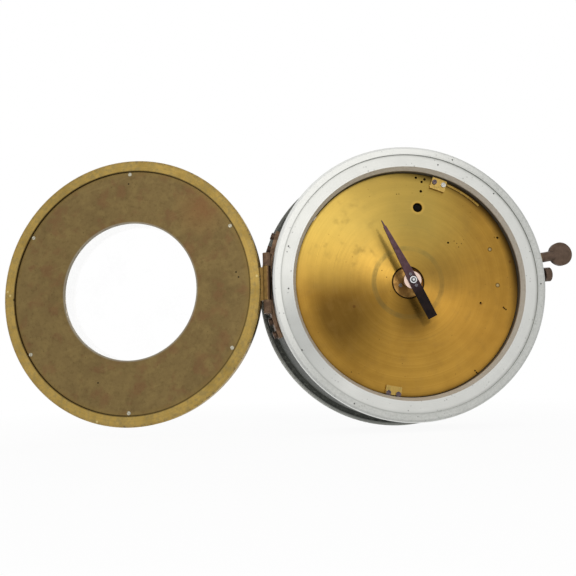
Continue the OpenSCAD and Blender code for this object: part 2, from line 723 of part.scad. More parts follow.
// Return spring: one open coil between the well and the button's head
spring_r = 3.2;
spring_wire_r = 0.4;
spring_pitch = 2.4;
spring_low = spring_well_at + spring_wire_r + 0.1;
spring_high = button_out - button_t - spring_wire_r - 0.1;
spring_turns = round((spring_high - spring_low) / spring_pitch);
spring_steps = 8;
spring_sides = 6;
spring_rings = spring_turns * spring_steps;
function coil_point(i) = [spring_r * cos(360 * i / spring_steps), spring_r * sin(360 * i / spring_steps),
    spring_low + (spring_high - spring_low) * i / spring_rings];
function coil_ring(i) = [for (k = [0:spring_sides - 1])
    let (a = 360 * i / spring_steps, b = 360 * k / spring_sides)
    coil_point(i) + spring_wire_r * (cos(b) * [cos(a), sin(a), 0] + sin(b) * [0, 0, 1])];
coil_points = [for (i = [0:spring_rings]) each coil_ring(i)];
coil_faces = concat(
    [for (i = [0:spring_rings - 1]) for (k = [0:spring_sides - 1]) let (n = (k + 1) % spring_sides)
        each [[i * spring_sides + k, i * spring_sides + n, (i + 1) * spring_sides + n],
            [i * spring_sides + k, (i + 1) * spring_sides + n, (i + 1) * spring_sides + k]]],
    [for (k = [1:spring_sides - 2]) [0, k + 1, k]],
    [for (k = [1:spring_sides - 2]) [spring_rings * spring_sides, spring_rings * spring_sides + k,
        spring_rings * spring_sides + k + 1]]);
module button_spring() color("#8c8f90") radial(button_angle, control_z)
    polyhedron(points = coil_points, faces = coil_faces);

// The stop lever is forked round the crank pin, and its finger brakes the balance
finger_gap = 0.5;
finger_w = 1.6;
balance_case_at = [balance_at[0] * cos(movement_turn) + balance_at[1] * sin(movement_turn),
    balance_at[1] * cos(movement_turn) - balance_at[0] * sin(movement_turn)];
pivot_to_balance = balance_case_at - stop_pivot_at;
pivot_balance_l = norm(pivot_to_balance);
finger_reach = balance_r + finger_gap + finger_w / 2;
finger_l = sqrt(pivot_balance_l * pivot_balance_l - finger_reach * finger_reach);
finger_dir = atan2(pivot_to_balance[1], pivot_to_balance[0]) - asin(finger_reach / pivot_balance_l);
fork_half = 1.6;
stop_hub_r = 3.6;
stop_arm_w = 6;
slot_depth = 3.4;
module stop_lever() color("#8b8d8f") upright() translate([stop_pivot_at[0], stop_pivot_at[1], stop_lever_z])
    linear_extrude(stop_lever_t) difference() {
        union() {
            circle(r = stop_hub_r);
            rotate(key_angle - stop_swing / 2) translate([0, -stop_arm_w / 2])
                square([stop_arm + 2, stop_arm_w]);
            rotate(finger_dir - stop_swing) translate([0, -finger_w / 2])
                square([finger_l, finger_w]);
        }
        circle(r = stop_screw_r + run);
        rotate(key_angle - stop_swing / 2) translate([stop_arm - slot_depth, -fork_half])
            square([stop_arm, 2 * fork_half]);
    }

module stop_lever_screw() color("#4a5160") upright() translate([stop_pivot_at[0], stop_pivot_at[1], 0]) {
    rod(stop_screw_r, stop_lever_z - 0.3, plate_back);
    rod(2.6, stop_lever_z - 1.6, stop_lever_z - 0.3);
}

/* Train */
// Outline of a wheel: each tooth is a trapezoid with a flank point on the pitch circle
module wheel_outline(teeth, m, addendum, dedendum, root_w, pitch_w, tip_w) {
    pitch_r = teeth * m / 2;
    points = [for (k = [0:teeth - 1]) let (a = 360 * k / teeth)
        each [polar_w(pitch_r - dedendum * m, a, -root_w * m), polar_w(pitch_r, a, -pitch_w * m),
            polar_w(pitch_r + addendum * m, a, -tip_w * m), polar_w(pitch_r + addendum * m, a, tip_w * m),
            polar_w(pitch_r, a, pitch_w * m), polar_w(pitch_r - dedendum * m, a, root_w * m)]];
    polygon(points);
}
function polar_w(r, a, w) = [r * cos(a) - w / 2 * sin(a), r * sin(a) + w / 2 * cos(a)];

module wheel_teeth(teeth, m) {
    wheel_outline(teeth, m, 0.8, 1.25, 1.5, 1.3, 0.6);
}
module pinion_leaves(leaves, m) {
    wheel_outline(leaves, m, 0.5, 1.15, 0.9, 1.05, 0.5);
}

// Angle of a pinion that gears with a wheel standing at angle zero
function mesh_angle(direction, teeth, leaves) = direction + 180 + 180 / leaves + direction * teeth / leaves;
function direction_of(from, to) = atan2(to[1] - from[1], to[0] - from[0]);

// A wheel with spokes
module spoked(teeth, m, bore, spokes, height) {
    pitch_r = teeth * m / 2;
    rim_in = pitch_r - 1.25 * m - 2.4;
    hub = bore + 2.2;
    translate([0, 0, height]) linear_extrude(wheel_t) difference() {
        union() {
            difference() {
                wheel_teeth(teeth, m);
                circle(r = rim_in);
            }
            circle(r = hub);
            for (k = [0:spokes - 1]) rotate([0, 0, 360 * k / spokes + 20]) translate([hub - 1, -1.1])
                square([rim_in - hub + 2, 2.2]);
        }
        circle(r = bore);
    }
}

// An arbor between the plates with its two pivots
module arbor(r) {
    rod(r, back_plate_front + 0.2, plate_back - 0.2);
    rod(pivot_r, back_plate_back, plate_back + pivot_l);
}

great_z = back_plate_front + 2;
inter_wheel_z = plate_back - bridge_t - clear - wheel_t - 0.7;
centre_wheel_up = 6;
third_wheel_up = 6;
escape_wheel_up = 9;
centre_wheel_z = back_plate_front + centre_wheel_up;
third_wheel_z = centre_wheel_z + third_wheel_up;
escape_wheel_z = third_wheel_z + escape_wheel_up;
drum_top = inter_wheel_z - 1;
arbor_r = 1.6;

module centre_arbor() color("#9a9c9e") in_movement() {
    rod(centre_back_r, back_plate_back, back_plate_front + 1);
    rod(centre_bearing_r, back_plate_front + 0.2, plate_front + 1);
    rod(2, plate_front, hand_z + hand_t + 0.9);
    translate([0, 0, hand_z + hand_t + 0.9]) cylinder(r1 = 2, r2 = 1, h = 0.6);
    translate([0, 0, inter_wheel_z - 1.2])
        rotate([0, 0, mesh_angle(direction_of(inter_at, [0, 0]), inter_teeth, centre_leaves)])
            linear_extrude(wheel_t + 2) pinion_leaves(centre_leaves, inter_module);
}

module centre_wheel() color("#c2a04a") in_movement()
    spoked(centre_teeth, centre_module, centre_bearing_r + fit, 5, centre_wheel_z);

module hand_place() {
    upright() translate([0, 0, hand_z]) rotate([0, 0, hand_angle]) children();
}

module hand_collet() color("#cdb9ae") hand_place() {
    tube(4.2, 2 + fit, plate_front + 1.4 - hand_z, -1.3);
    tube(collet_r, 2 + fit, -1.4, 0);
}

// Outline of the hand, tip up
hand_needle = 5.4;
hand_shoulder = 1.2;
hand_points = [[0, hand_tip], [0.35, hand_tip - 1.2], [0.6, hand_tip - hand_needle],
    [hand_shoulder, hand_tip - hand_needle - 0.5], [hand_w / 2 - 0.6, 9], [hand_w / 2, -9],
    [hand_w / 2 - 0.25, -hand_tail]];
hand_screw_at = 5.3;
module hand() color("#43313c") hand_place() difference() {
    linear_extrude(hand_t) polygon(concat(hand_points,
        [for (i = [len(hand_points) - 1:-1:1]) [-hand_points[i][0], hand_points[i][1]]]));
    translate([0, 0, -1]) cylinder(r = 2 + fit, h = hand_t + 2);
    for (side = [-1, 1]) translate([0, side * hand_screw_at, -1]) cylinder(r = 0.6 + fit, h = hand_t + 2);
}

module hand_screws() color("#35323a") hand_place()
    for (side = [-1, 1]) translate([0, side * hand_screw_at, hand_t]) screw(1.3, 0.6, 0.6, hand_t, 50 * side);

module hand_ring() color("#c9c9c9") hand_place() tube(3, 2 + fit, hand_t, hand_t + 0.8);

// Mainspring barrel: an open drum with its toothed base, closed by a cover
drum_wall = 1.4;
drum_base_t = 2.4;
drum_hub_r = 5;
module barrel_drum() color("#b8923a") in_movement() translate(barrel_at) difference() {
    union() {
        translate([0, 0, great_z]) linear_extrude(drum_base_t) wheel_teeth(barrel_teeth, barrel_module);
        tube(drum_r, drum_r - drum_wall, great_z + drum_base_t, drum_top);
    }
    rod(drum_hub_r + run, great_z - 1, great_z + drum_base_t + 1);
}

cover_t = 1.6;
module barrel_cover() color("#c2a04a") in_movement() translate(barrel_at)
    tube(drum_r - drum_wall - fit, drum_hub_r + run, drum_top - cover_t, drum_top);

// The mainspring lies as a spiral strip between the hub and the wall
spiral_turns = 9;
spiral_in = drum_hub_r + 0.6;
spiral_out = drum_r - drum_wall - 0.5;
spiral_strip = 0.5;
spiral_steps = 20;
module spiral(from_r, to_r, strip, turns, height, thickness) {
    count = turns * spiral_steps;
    translate([0, 0, height]) linear_extrude(thickness) polygon(concat(
        [for (i = [0:count]) polar(from_r + (to_r - strip - from_r) * i / count, 360 * i / spiral_steps)],
        [for (i = [count:-1:0])
            polar(from_r + strip + (to_r - strip - from_r) * i / count, 360 * i / spiral_steps)]));
}
module mainspring() color("#59606b") in_movement() translate(barrel_at)
    spiral(spiral_in, spiral_out, spiral_strip, spiral_turns, great_z + drum_base_t + 0.4,
        drum_top - cover_t - great_z - drum_base_t - 0.8);

// Winding arbor with its square in the winding hole
ratchet_t = 2.2;
ratchet_z = back_plate_back - 0.6 - ratchet_t;
wind_square = 4.2;
wind_square_l = 0.8;
module barrel_arbor() color("#8c8e90") in_movement() translate(barrel_at) {
    rod(barrel_bearing_r, ratchet_z - 0.6, plate_front - wind_step_t + 0.1);
    rod(drum_hub_r, back_plate_front + 0.6, drum_top + 0.2);
    translate([-wind_square / 2, -wind_square / 2, plate_front - wind_step_t])
        cube([wind_square, wind_square, wind_square_l]);
}

ratchet_teeth = 24;
ratchet_r = 11;
module ratchet_wheel() color("#9a9c9e") in_movement() translate([barrel_at[0], barrel_at[1], ratchet_z])
    linear_extrude(ratchet_t) difference() {
        polygon([for (k = [0:ratchet_teeth - 1])
            let (a = 360 * k / ratchet_teeth, b = 360 * (k + 0.9) / ratchet_teeth)
                each [polar(ratchet_r, a), polar(ratchet_r - 1.3, b)]]);
        circle(r = barrel_bearing_r + fit);
    }

// The click lies with its nose just off the ratchet's teeth
click_dir = 205;
click_at = barrel_at + polar(ratchet_r + 5, click_dir);
click_screw_r = 1.3;
click_t = 1.8;
click_z = ratchet_z + (ratchet_t - click_t) / 2;
click_nose = barrel_at + polar(ratchet_r + clear + 0.3, click_dir - 38);
click_r = 3;
click_across = direction_of(click_at, click_nose) + 90;
module click() color("#8c8e90") in_movement() difference() {
    translate([0, 0, click_z]) linear_extrude(click_t) union() {
        translate(click_at) circle(r = click_r);
        polygon([click_at + polar(click_r - 0.4, click_across), click_at - polar(click_r - 0.4, click_across),
            click_nose, click_nose + polar(1.4, click_across)]);
    }
    translate(click_at) rod(click_screw_r + run, click_z - 1, click_z + click_t + 1);
}

module click_screw() color("#4a5160") in_movement() {
    translate([click_at[0], click_at[1], 0]) {
        rod(click_screw_r, click_z - 0.2, back_plate_front - 0.4);
        rod(2.4, click_z - 1.5, click_z - 0.2);
    }
    translate([click_spring_at[0], click_spring_at[1], 0]) {
        rod(click_screw_r, back_plate_back - 1.5, back_plate_front - 0.4);
        rod(2.4, back_plate_back - 2.6, back_plate_back - 1.5);
    }
}

// A strip that stands off the click's back
click_spring_at = barrel_at + polar(ratchet_r + 13, click_dir + 14);
click_spring_t = 1.5;
click_spring_dir = 95;
click_spring_across = click_spring_dir + 90;
click_spring_tip = click_spring_at + polar(17, click_spring_dir);
module click_spring() color("#7c828a") in_movement() difference() {
    translate([0, 0, back_plate_back - click_spring_t]) linear_extrude(click_spring_t) union() {
        translate(click_spring_at) circle(r = click_r);
        polygon([click_spring_at + polar(1.6, click_spring_across),
            click_spring_at - polar(1.6, click_spring_across),
            click_spring_tip - polar(0.4, click_spring_across),
            click_spring_tip + polar(0.4, click_spring_across)]);
    }
    translate(click_spring_at) rod(click_screw_r + fit, 0, back_plate_front);
}

module inter_arbor() color("#9a9c9e") in_movement() translate(inter_at) {
    arbor(arbor_r);
    translate([0, 0, great_z - 0.8])
        rotate([0, 0, mesh_angle(direction_of(barrel_at, inter_at), barrel_teeth, inter_leaves)])
            linear_extrude(drum_base_t + 1.6) pinion_leaves(inter_leaves, barrel_module);
}
module inter_wheel() color("#c2a04a") in_movement() translate(inter_at)
    spoked(inter_teeth, inter_module, arbor_r + fit, 6, inter_wheel_z);

module third_arbor() color("#9a9c9e") in_movement() translate(third_at) {
    arbor(arbor_r);
    translate([0, 0, centre_wheel_z - 0.8])
        rotate([0, 0, mesh_angle(direction_of([0, 0], third_at), centre_teeth, third_leaves)])
            linear_extrude(wheel_t + 1.6) pinion_leaves(third_leaves, centre_module);
}
module third_wheel() color("#c2a04a") in_movement() translate(third_at)
    spoked(third_teeth, third_module, arbor_r + fit, 5, third_wheel_z);

escape_arbor_r = 1.2;
module escape_arbor() color("#9a9c9e") in_movement() translate(escape_at) {
    arbor(escape_arbor_r);
    translate([0, 0, third_wheel_z - 0.8])
        rotate([0, 0, mesh_angle(direction_of(third_at, escape_at), third_teeth, escape_leaves)])
            linear_extrude(wheel_t + 1.6) pinion_leaves(escape_leaves, third_module);
}

escape_teeth = 15;
escape_r = 6.8;
module escape_wheel() color("#c2a04a") in_movement() translate([escape_at[0], escape_at[1], escape_wheel_z])
    linear_extrude(1.2) difference() {
        polygon([for (k = [0:escape_teeth - 1]) let (a = 360 * k / escape_teeth)
            each [polar(escape_r - 1.8, a - 5), polar(escape_r, a + 4), polar(escape_r, a + 8),
                polar(escape_r - 1.8, a + 9)]]);
        circle(r = escape_arbor_r + fit);
    }

// Pallet lever with its arbor: two arms stand just off the escape wheel, and a fork faces the balance
roller_r = 2.2;
fork_at = lever_to_balance - roller_r - clear - 0.2;
module pallet_lever() color("#8c8e90") in_movement() translate(lever_at) {
    arbor(0.9);
    translate([0, 0, escape_wheel_z]) rotate([0, 0, lever_dir]) linear_extrude(1.2) union() {
        circle(r = 1.8);
        for (side = [-1, 1])
            polygon([[0.6, 0], [-1.2, side * 5.2], [-2.4, side * 5.6], [-2.0, side * 4.4], [-1.2, side * 1.2]]);
        polygon([[0, -0.8], [fork_at - 1, -0.6], [fork_at, -1.4], [fork_at, 1.4], [fork_at - 1, 0.6], [0, 0.8]]);
    }
}

balance_z = stop_lever_z - 0.2;
balance_t = 2.2;
module balance_staff() color("#9a9c9e") in_movement() translate(balance_at) {
    arbor(1);
    rod(roller_r, escape_wheel_z - 0.4, escape_wheel_z + 1.4);
}

module balance_wheel() color("#c9a552") in_movement() translate(balance_at) difference() {
    union() {
        tube(balance_r, balance_r - 2, balance_z, balance_z + balance_t);
        rod(2.6, balance_z, balance_z + balance_t);
        for (turn = [0, 90]) rotate([0, 0, turn]) translate([-balance_r + 1, -1, balance_z])
            cube([2 * balance_r - 2, 2, 1]);
    }
    rod(1 + fit, balance_z - 1, balance_z + balance_t + 1);
}

// Hairspring: a flat spiral over the balance, pinned to a stud in the front plate
hair_in = 1.6;
hair_out = 7.9;
hair_strip = 0.25;
hair_z = balance_z + balance_t + 1.2;
stud_r = 0.8;
stud_at = balance_at + [hair_out + stud_r + fit, 0];
module hairspring() color("#4b5a86") in_movement() translate(balance_at)
    spiral(hair_in, hair_out, hair_strip, 8, hair_z, 0.8);
module hairspring_stud() color("#8c8e90") in_movement() translate(stud_at)
    rod(stud_r, hair_z - 0.4, plate_back + 1.6);

case();
front_plate();
back_plate();
pillars();
pillar_screws();
top_clamp();
bottom_clamp();
clamp_screws();
edge_spring();
centre_bridge();
bridge_screws();
control_bracket();
bracket_screws();
case_leaf();
leaf_screws();
hinge_pin();
key_bush();
button_bush();
button_spring();
click();
click_screw();
click_spring();
hairspring();
hairspring_stud();
bezel_ring();
door_leaf();
door_leaf_screws();
dial_plate();
dial_screws();
glass();
glass_spacer();
centre_arbor();
centre_wheel();
hand_collet();
hand();
hand_screws();
hand_ring();
barrel_drum();
barrel_cover();
mainspring();
barrel_arbor();
ratchet_wheel();
inter_arbor();
inter_wheel();
third_arbor();
third_wheel();
escape_arbor();
escape_wheel();
pallet_lever();
balance_staff();
balance_wheel();
thumb_key();
key_collar();
stop_lever();
stop_lever_screw();
push_button();
button_collar();
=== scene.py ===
"""A ship clock with its door open: its finishes, the print on its dial, and the studio round it."""

import json
import math

import bmesh
import bpy
from mathutils import Matrix, Vector


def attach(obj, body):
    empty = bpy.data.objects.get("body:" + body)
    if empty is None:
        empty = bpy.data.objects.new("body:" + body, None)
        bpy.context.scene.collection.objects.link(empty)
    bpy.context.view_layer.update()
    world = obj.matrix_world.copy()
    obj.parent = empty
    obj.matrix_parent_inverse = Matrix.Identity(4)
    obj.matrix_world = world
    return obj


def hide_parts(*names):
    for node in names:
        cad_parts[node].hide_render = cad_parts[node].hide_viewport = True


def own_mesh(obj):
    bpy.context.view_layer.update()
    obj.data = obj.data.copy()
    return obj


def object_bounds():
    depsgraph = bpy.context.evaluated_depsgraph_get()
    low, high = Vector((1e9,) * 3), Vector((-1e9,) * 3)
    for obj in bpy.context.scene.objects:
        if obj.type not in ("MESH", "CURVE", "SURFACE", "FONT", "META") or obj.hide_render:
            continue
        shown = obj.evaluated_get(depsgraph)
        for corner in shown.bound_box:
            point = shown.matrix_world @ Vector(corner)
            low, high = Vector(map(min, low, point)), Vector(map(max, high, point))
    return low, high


bl_info = {
    "name": "Ship clock finishes",
    "version": (1, 0, 0),
    "blender": (4, 5, 0),
    "location": "3D View > Sidebar > Ship clock",
    "description": "Finishes of a ship clock's case, door, movement and controls",
    "category": "Object",
}

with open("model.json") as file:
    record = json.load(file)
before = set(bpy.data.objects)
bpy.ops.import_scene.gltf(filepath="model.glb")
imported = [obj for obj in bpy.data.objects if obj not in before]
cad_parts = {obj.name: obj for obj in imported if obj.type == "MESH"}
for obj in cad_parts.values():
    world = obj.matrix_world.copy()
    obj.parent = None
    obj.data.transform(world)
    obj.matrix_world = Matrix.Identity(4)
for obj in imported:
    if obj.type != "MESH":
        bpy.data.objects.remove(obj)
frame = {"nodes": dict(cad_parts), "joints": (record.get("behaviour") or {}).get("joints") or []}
CAD_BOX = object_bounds()
MM = 1000


def joint(name):
    """A joint of the clock."""
    return next(j for j in frame["joints"] if j["name"] == name)


# The door is drawn open; this turn shuts it, so that its finish can follow the dial
SWING = joint("door_swing")
HINGE = Vector(SWING["pos_m"])
SHUT_ANGLE = math.radians(SWING["range_deg"][1])
SHUT = Matrix.Translation(HINGE) @ Matrix.Rotation(SHUT_ANGLE, 4, "Z") @ Matrix.Translation(-HINGE)
OPEN = SHUT.inverted()

# The way that the shut clock's face looks, and its back
FORWARD = (0, -1, 0)
BACKWARD = (0, 1, 0)
# Pin and screw in the front plate, in millimetres across and up from its middle
BRACKET_PINS = ((78.9, -3.8), (74.3, 27.8))


def linear(text):
    """An sRGB hex colour as linear red, green, blue and alpha."""
    parts = [int(text[i:i + 2], 16) / 255 for i in (1, 3, 5)]
    return [c / 12.92 if c <= 0.04045 else ((c + 0.055) / 1.055) ** 2.4 for c in parts] + [1.0]


def put(tree, kind, inputs=None, **settings):
    """Adds a node with its settings, values and links, and gives its first output."""
    node = tree.nodes.new(kind)
    for name, value in settings.items():
        setattr(node, name, value)
    for key, value in (inputs or {}).items():
        if isinstance(value, bpy.types.NodeSocket):
            tree.links.new(value, node.inputs[key])
        elif isinstance(value, str):
            node.inputs[key].default_value = linear(value)
        else:
            node.inputs[key].default_value = value
    return node.outputs[0] if node.outputs else node


def clock_place(tree, on_door=False):
    """Where a point lies on the shut clock, in millimetres from the middle of its back."""
    place = put(tree, "ShaderNodeTexCoord").node.outputs["Object"]
    if on_door:
        return put(tree, "ShaderNodeMapping", {
            "Vector": place, "Location": SHUT.to_translation() * MM,
            "Rotation": (0, 0, SHUT_ANGLE), "Scale": (MM, MM, MM)})
    return put(tree, "ShaderNodeMapping", {"Vector": place, "Scale": (MM, MM, MM)})


def faces(tree, direction, on_door=False):
    """One where a face looks in a direction of the shut clock, nothing where it looks elsewhere."""
    if on_door:
        direction = OPEN.to_3x3() @ Vector(direction)
    normal = put(tree, "ShaderNodeTexCoord").node.outputs["Normal"]
    return fade(tree, toward(tree, normal, direction), 0.75, 0.9)


def toward(tree, place, direction):
    """How far a place lies along a direction, or how far two directions agree."""
    return put(tree, "ShaderNodeVectorMath", {0: place, 1: direction},
               operation="DOT_PRODUCT").node.outputs["Value"]


def across(tree, place):
    """The place on the clock's face, with its depth left out."""
    return put(tree, "ShaderNodeVectorMath", {0: place, 1: (1, 0, 1)}, operation="MULTIPLY")


def reach(tree, flat, centre=(0, 0)):
    """Distance on the face from a centre, in millimetres."""
    return put(tree, "ShaderNodeVectorMath", {0: flat, 1: (centre[0], 0, centre[1])},
               operation="DISTANCE").node.outputs["Value"]


def near(tree, flat, centre, outer, inner):
    """One within the inner distance of a centre, and nothing beyond the outer one."""
    return fade(tree, reach(tree, flat, centre), outer, inner)


def axis_of(tree, place, name):
    """One coordinate of a place."""
    return put(tree, "ShaderNodeSeparateXYZ", {0: place}).node.outputs[name]


def fade(tree, value, start, stop):
    """Nothing before the start and one after the stop; a start above the stop turns it round."""
    return put(tree, "ShaderNodeMapRange", {"Value": value, "From Min": start, "From Max": stop})


def vary(tree, mask, low, high):
    """A number that goes from low to high with a mask."""
    return put(tree, "ShaderNodeMapRange", {"Value": mask, "To Min": low, "To Max": high})


def product(tree, first, *others):
    """What is left where several masks lie over each other; a number thins the mask."""
    for other in others:
        first = put(tree, "ShaderNodeMath", {0: first, 1: other}, operation="MULTIPLY")
    return first


def either(tree, first, *others):
    """The stronger of several masks."""
    for other in others:
        first = put(tree, "ShaderNodeMath", {0: first, 1: other}, operation="MAXIMUM")
    return first


def outside(tree, mask):
    """The rest of a mask."""
    return put(tree, "ShaderNodeMath", {0: 1.0, 1: mask}, operation="SUBTRACT")


def band(tree, value, low, high, soft):
    """A band between two values with soft borders."""
    return product(tree, fade(tree, value, low - soft, low + soft),
                   fade(tree, value, high + soft, high - soft))


def blotches(tree, place, size, low=0.45, high=0.6, detail=4, stretch=(1, 1, 1)):
    """Clouds of about a size in millimetres, which cover more as low and high come down."""
    if stretch != (1, 1, 1):
        place = put(tree, "ShaderNodeVectorMath", {0: place, 1: stretch}, operation="MULTIPLY")
    cloud = put(tree, "ShaderNodeTexNoise",
                {"Vector": place, "Scale": 1 / size, "Detail": detail, "Roughness": 0.6})
    return fade(tree, cloud, low, high)


def turned(tree, radius, pitch, low=0.3, high=0.7):
    """Rings left by a turning tool, with a pitch in millimetres."""
    ring = put(tree, "ShaderNodeTexNoise", {"W": radius, "Scale": 1 / pitch, "Detail": 2},
               noise_dimensions="1D")
    return fade(tree, ring, low, high)


def pits(tree, place, spacing, share):
    """Small round pits: one at their middle, with their spacing in millimetres."""
    cell = put(tree, "ShaderNodeTexVoronoi", {"Vector": place, "Scale": 1 / spacing})
    return fade(tree, cell.node.outputs["Distance"], share, share * 0.45)


def scratches(tree, place, length, turn):
    """Fine straight scratches of about a length in millimetres, turned on the face."""
    lay = put(tree, "ShaderNodeMapping", {"Vector": place, "Rotation": (0, turn, 0),
                                          "Scale": (length, length, length / 14)}, vector_type="TEXTURE")
    line = put(tree, "ShaderNodeTexNoise", {"Vector": lay, "Scale": 1.0, "Detail": 3, "Distortion": 0.15})
    return fade(tree, line, 0.66, 0.72)


def worn_edges(tree, width):
    """Where a piece's edge has rubbed bright, with the width of the wear in millimetres."""
    rounded = put(tree, "ShaderNodeBevel", {"Radius": width / MM}, samples=4)
    flat = put(tree, "ShaderNodeNewGeometry").node.outputs["Normal"]
    return fade(tree, toward(tree, rounded, flat), 0.985, 0.9)


def spots(tree, flat, places, radius):
    """Small round marks at places on the face, with their radius in millimetres."""
    return either(tree, *(near(tree, flat, place, radius, radius * 0.6) for place in places))


def layers(tree, base, *coats):
    """A colour with coats over it; a coat is its mask, how much it covers from 0 to 1, and its colour."""
    for mask, cover, colour in coats:
        base = put(tree, "ShaderNodeMixRGB",
                   {"Fac": product(tree, mask, cover), "Color1": base, "Color2": colour})
    return base


def grey(value):
    """A grey for a number that goes through layers."""
    return value, value, value, 1


def blank(owner):
    """The emptied node tree of a material or of the surroundings."""
    owner.use_nodes = True
    owner.node_tree.nodes.clear()
    return owner.node_tree


def metal(name, make):
    """A material; make gives its shader sockets, and its relief as a height and a depth in millimetres."""
    mat = bpy.data.materials.new(name)
    tree = blank(mat)
    sockets, (height, depth) = make(tree)
    sockets = {"Metallic": 1.0, **sockets}
    sockets["Normal"] = put(tree, "ShaderNodeBump",
                            {"Height": height, "Distance": depth / MM, "Strength": 1.0})
    shader = put(tree, "ShaderNodeBsdfPrincipled", sockets)
    put(tree, "ShaderNodeOutputMaterial", {"Surface": shader})
    return mat


def clouded(name, base, cloud, stain, rough, depth, edge=None, on_door=False, sockets=None):
    """A plain finish, with one kind of cloud.

    cloud holds what blotches takes, stain a cover and a colour, and edge the width of the worn edges in
    millimetres, their cover and their colour. rough goes from the clear parts to the clouded ones."""
    def make(tree):
        mask = blotches(tree, clock_place(tree, on_door), *cloud)
        coats = [(mask, *stain)]
        if edge:
            coats.append((worn_edges(tree, edge[0]), *edge[1:]))
        return {"Base Color": layers(tree, base, *coats), "Roughness": vary(tree, mask, *rough),
                **(sockets or {})}, (mask, depth)

    return metal(name, make)


def add(name, data):
    """Puts a new object into the scene."""
    thing = bpy.data.objects.new(name, data)
    bpy.context.scene.collection.objects.link(thing)
    return thing


def mesh_of(name, sheet):
    """The mesh of a finished sheet of faces, which is freed."""
    mesh = bpy.data.meshes.new(name)
    sheet.to_mesh(mesh)
    sheet.free()
    return mesh


def dress(mat, *names):
    """Gives a finish to the clock's pieces."""
    for name in names:
        frame["nodes"][name].material_slots[0].material = mat


def turned_grain(tree, flat, on_door=False):
    """Direction across the grooves of a turned face, which draws a highlight out along the radius."""
    outward = put(tree, "ShaderNodeVectorMath", {0: flat}, operation="NORMALIZE")
    if on_door:
        outward = put(tree, "ShaderNodeMapping", {"Vector": outward, "Rotation": (0, 0, -SHUT_ANGLE)})
    return put(tree, "ShaderNodeVectorTransform", {0: outward}, vector_type="VECTOR",
               convert_from="OBJECT", convert_to="WORLD")


class CaseFinish(bpy.types.PropertyGroup):
    """The cast aluminium drum."""

    rim: bpy.props.FloatVectorProperty(
        name="Front rim", description="Turned face of the front ring", subtype="COLOR", size=4,
        min=0, max=1, default=linear("#D0D1CE"))
    drum: bpy.props.FloatVectorProperty(
        name="Drum", description="Weathered side of the drum", subtype="COLOR", size=4,
        min=0, max=1, default=linear("#353832"))
    bore: bpy.props.FloatVectorProperty(
        name="Bore", description="Bored wall inside the front ring", subtype="COLOR", size=4,
        min=0, max=1, default=linear("#C2BCB0"))
    step_radius: bpy.props.FloatProperty(
        name="Step radius", description="Radius of the step in the front ring, in mm", default=110.0,
        min=100, max=116)


class PlateFinish(bpy.types.PropertyGroup):
    """The turned brass plate of the movement."""

    brass: bpy.props.FloatVectorProperty(
        name="Brass", description="Turned brass of the front plate", subtype="COLOR", size=4,
        min=0, max=1, default=linear("#A17B33"))
    tarnish: bpy.props.FloatVectorProperty(
        name="Tarnish", description="Darker brass where the plate has tarnished", subtype="COLOR", size=4,
        min=0, max=1, default=linear("#7A5822"))
    groove: bpy.props.FloatProperty(
        name="Groove pitch", description="Distance between the turning marks, in mm", default=0.9,
        min=0.3, max=3)


class DoorFinish(bpy.types.PropertyGroup):
    """The door's brass ring and dial."""

    bezel: bpy.props.FloatVectorProperty(
        name="Bezel", description="Turned brass of the bezel", subtype="COLOR", size=4,
        min=0, max=1, default=linear("#A68A4A"))
    sheet: bpy.props.FloatVectorProperty(
        name="Dial's back", description="Patinated brass sheet of the dial", subtype="COLOR", size=4,
        min=0, max=1, default=linear("#776440"))
    numeral_height: bpy.props.FloatProperty(
        name="Numeral height", description="Height of the numerals on the dial", default=0.013,
        min=0.006, max=0.02, unit="LENGTH", subtype="DISTANCE")


class HandFinish(bpy.types.PropertyGroup):
    """The sweep hand."""

    heated: bpy.props.FloatVectorProperty(
        name="Heated steel", description="Purple-brown steel of the hand's blade", subtype="COLOR",
        size=4, min=0, max=1, default=linear("#402F33"))
    tail: bpy.props.FloatVectorProperty(
        name="Tail", description="Blue-black steel of the hand's tail", subtype="COLOR", size=4,
        min=0, max=1, default=linear("#1A1718"))


class StudioSettings(bpy.types.PropertyGroup):
    """Lamps and camera."""

    key_power: bpy.props.FloatProperty(
        name="Key lamp", description="Power of the lamp in front of the clock", default=4.7, min=0,
        unit="POWER")
    fill_power: bpy.props.FloatProperty(
        name="Fill lamp", description="Power of the broad lamps, above and behind", default=2.6, min=0,
        unit="POWER")
    sky: bpy.props.FloatProperty(
        name="Soft light", description="Strength of the light from all round", default=0.56, min=0, max=1)
    lens: bpy.props.FloatProperty(
        name="Lens", description="Focal length of the camera", default=39.01, min=10, max=200,
        unit="CAMERA")


class ClockSettings(bpy.types.PropertyGroup):
    """All the settings of the ship clock."""

    case: bpy.props.PointerProperty(type=CaseFinish)
    plate: bpy.props.PointerProperty(type=PlateFinish)
    door: bpy.props.PointerProperty(type=DoorFinish)
    hand: bpy.props.PointerProperty(type=HandFinish)
    studio: bpy.props.PointerProperty(type=StudioSettings)


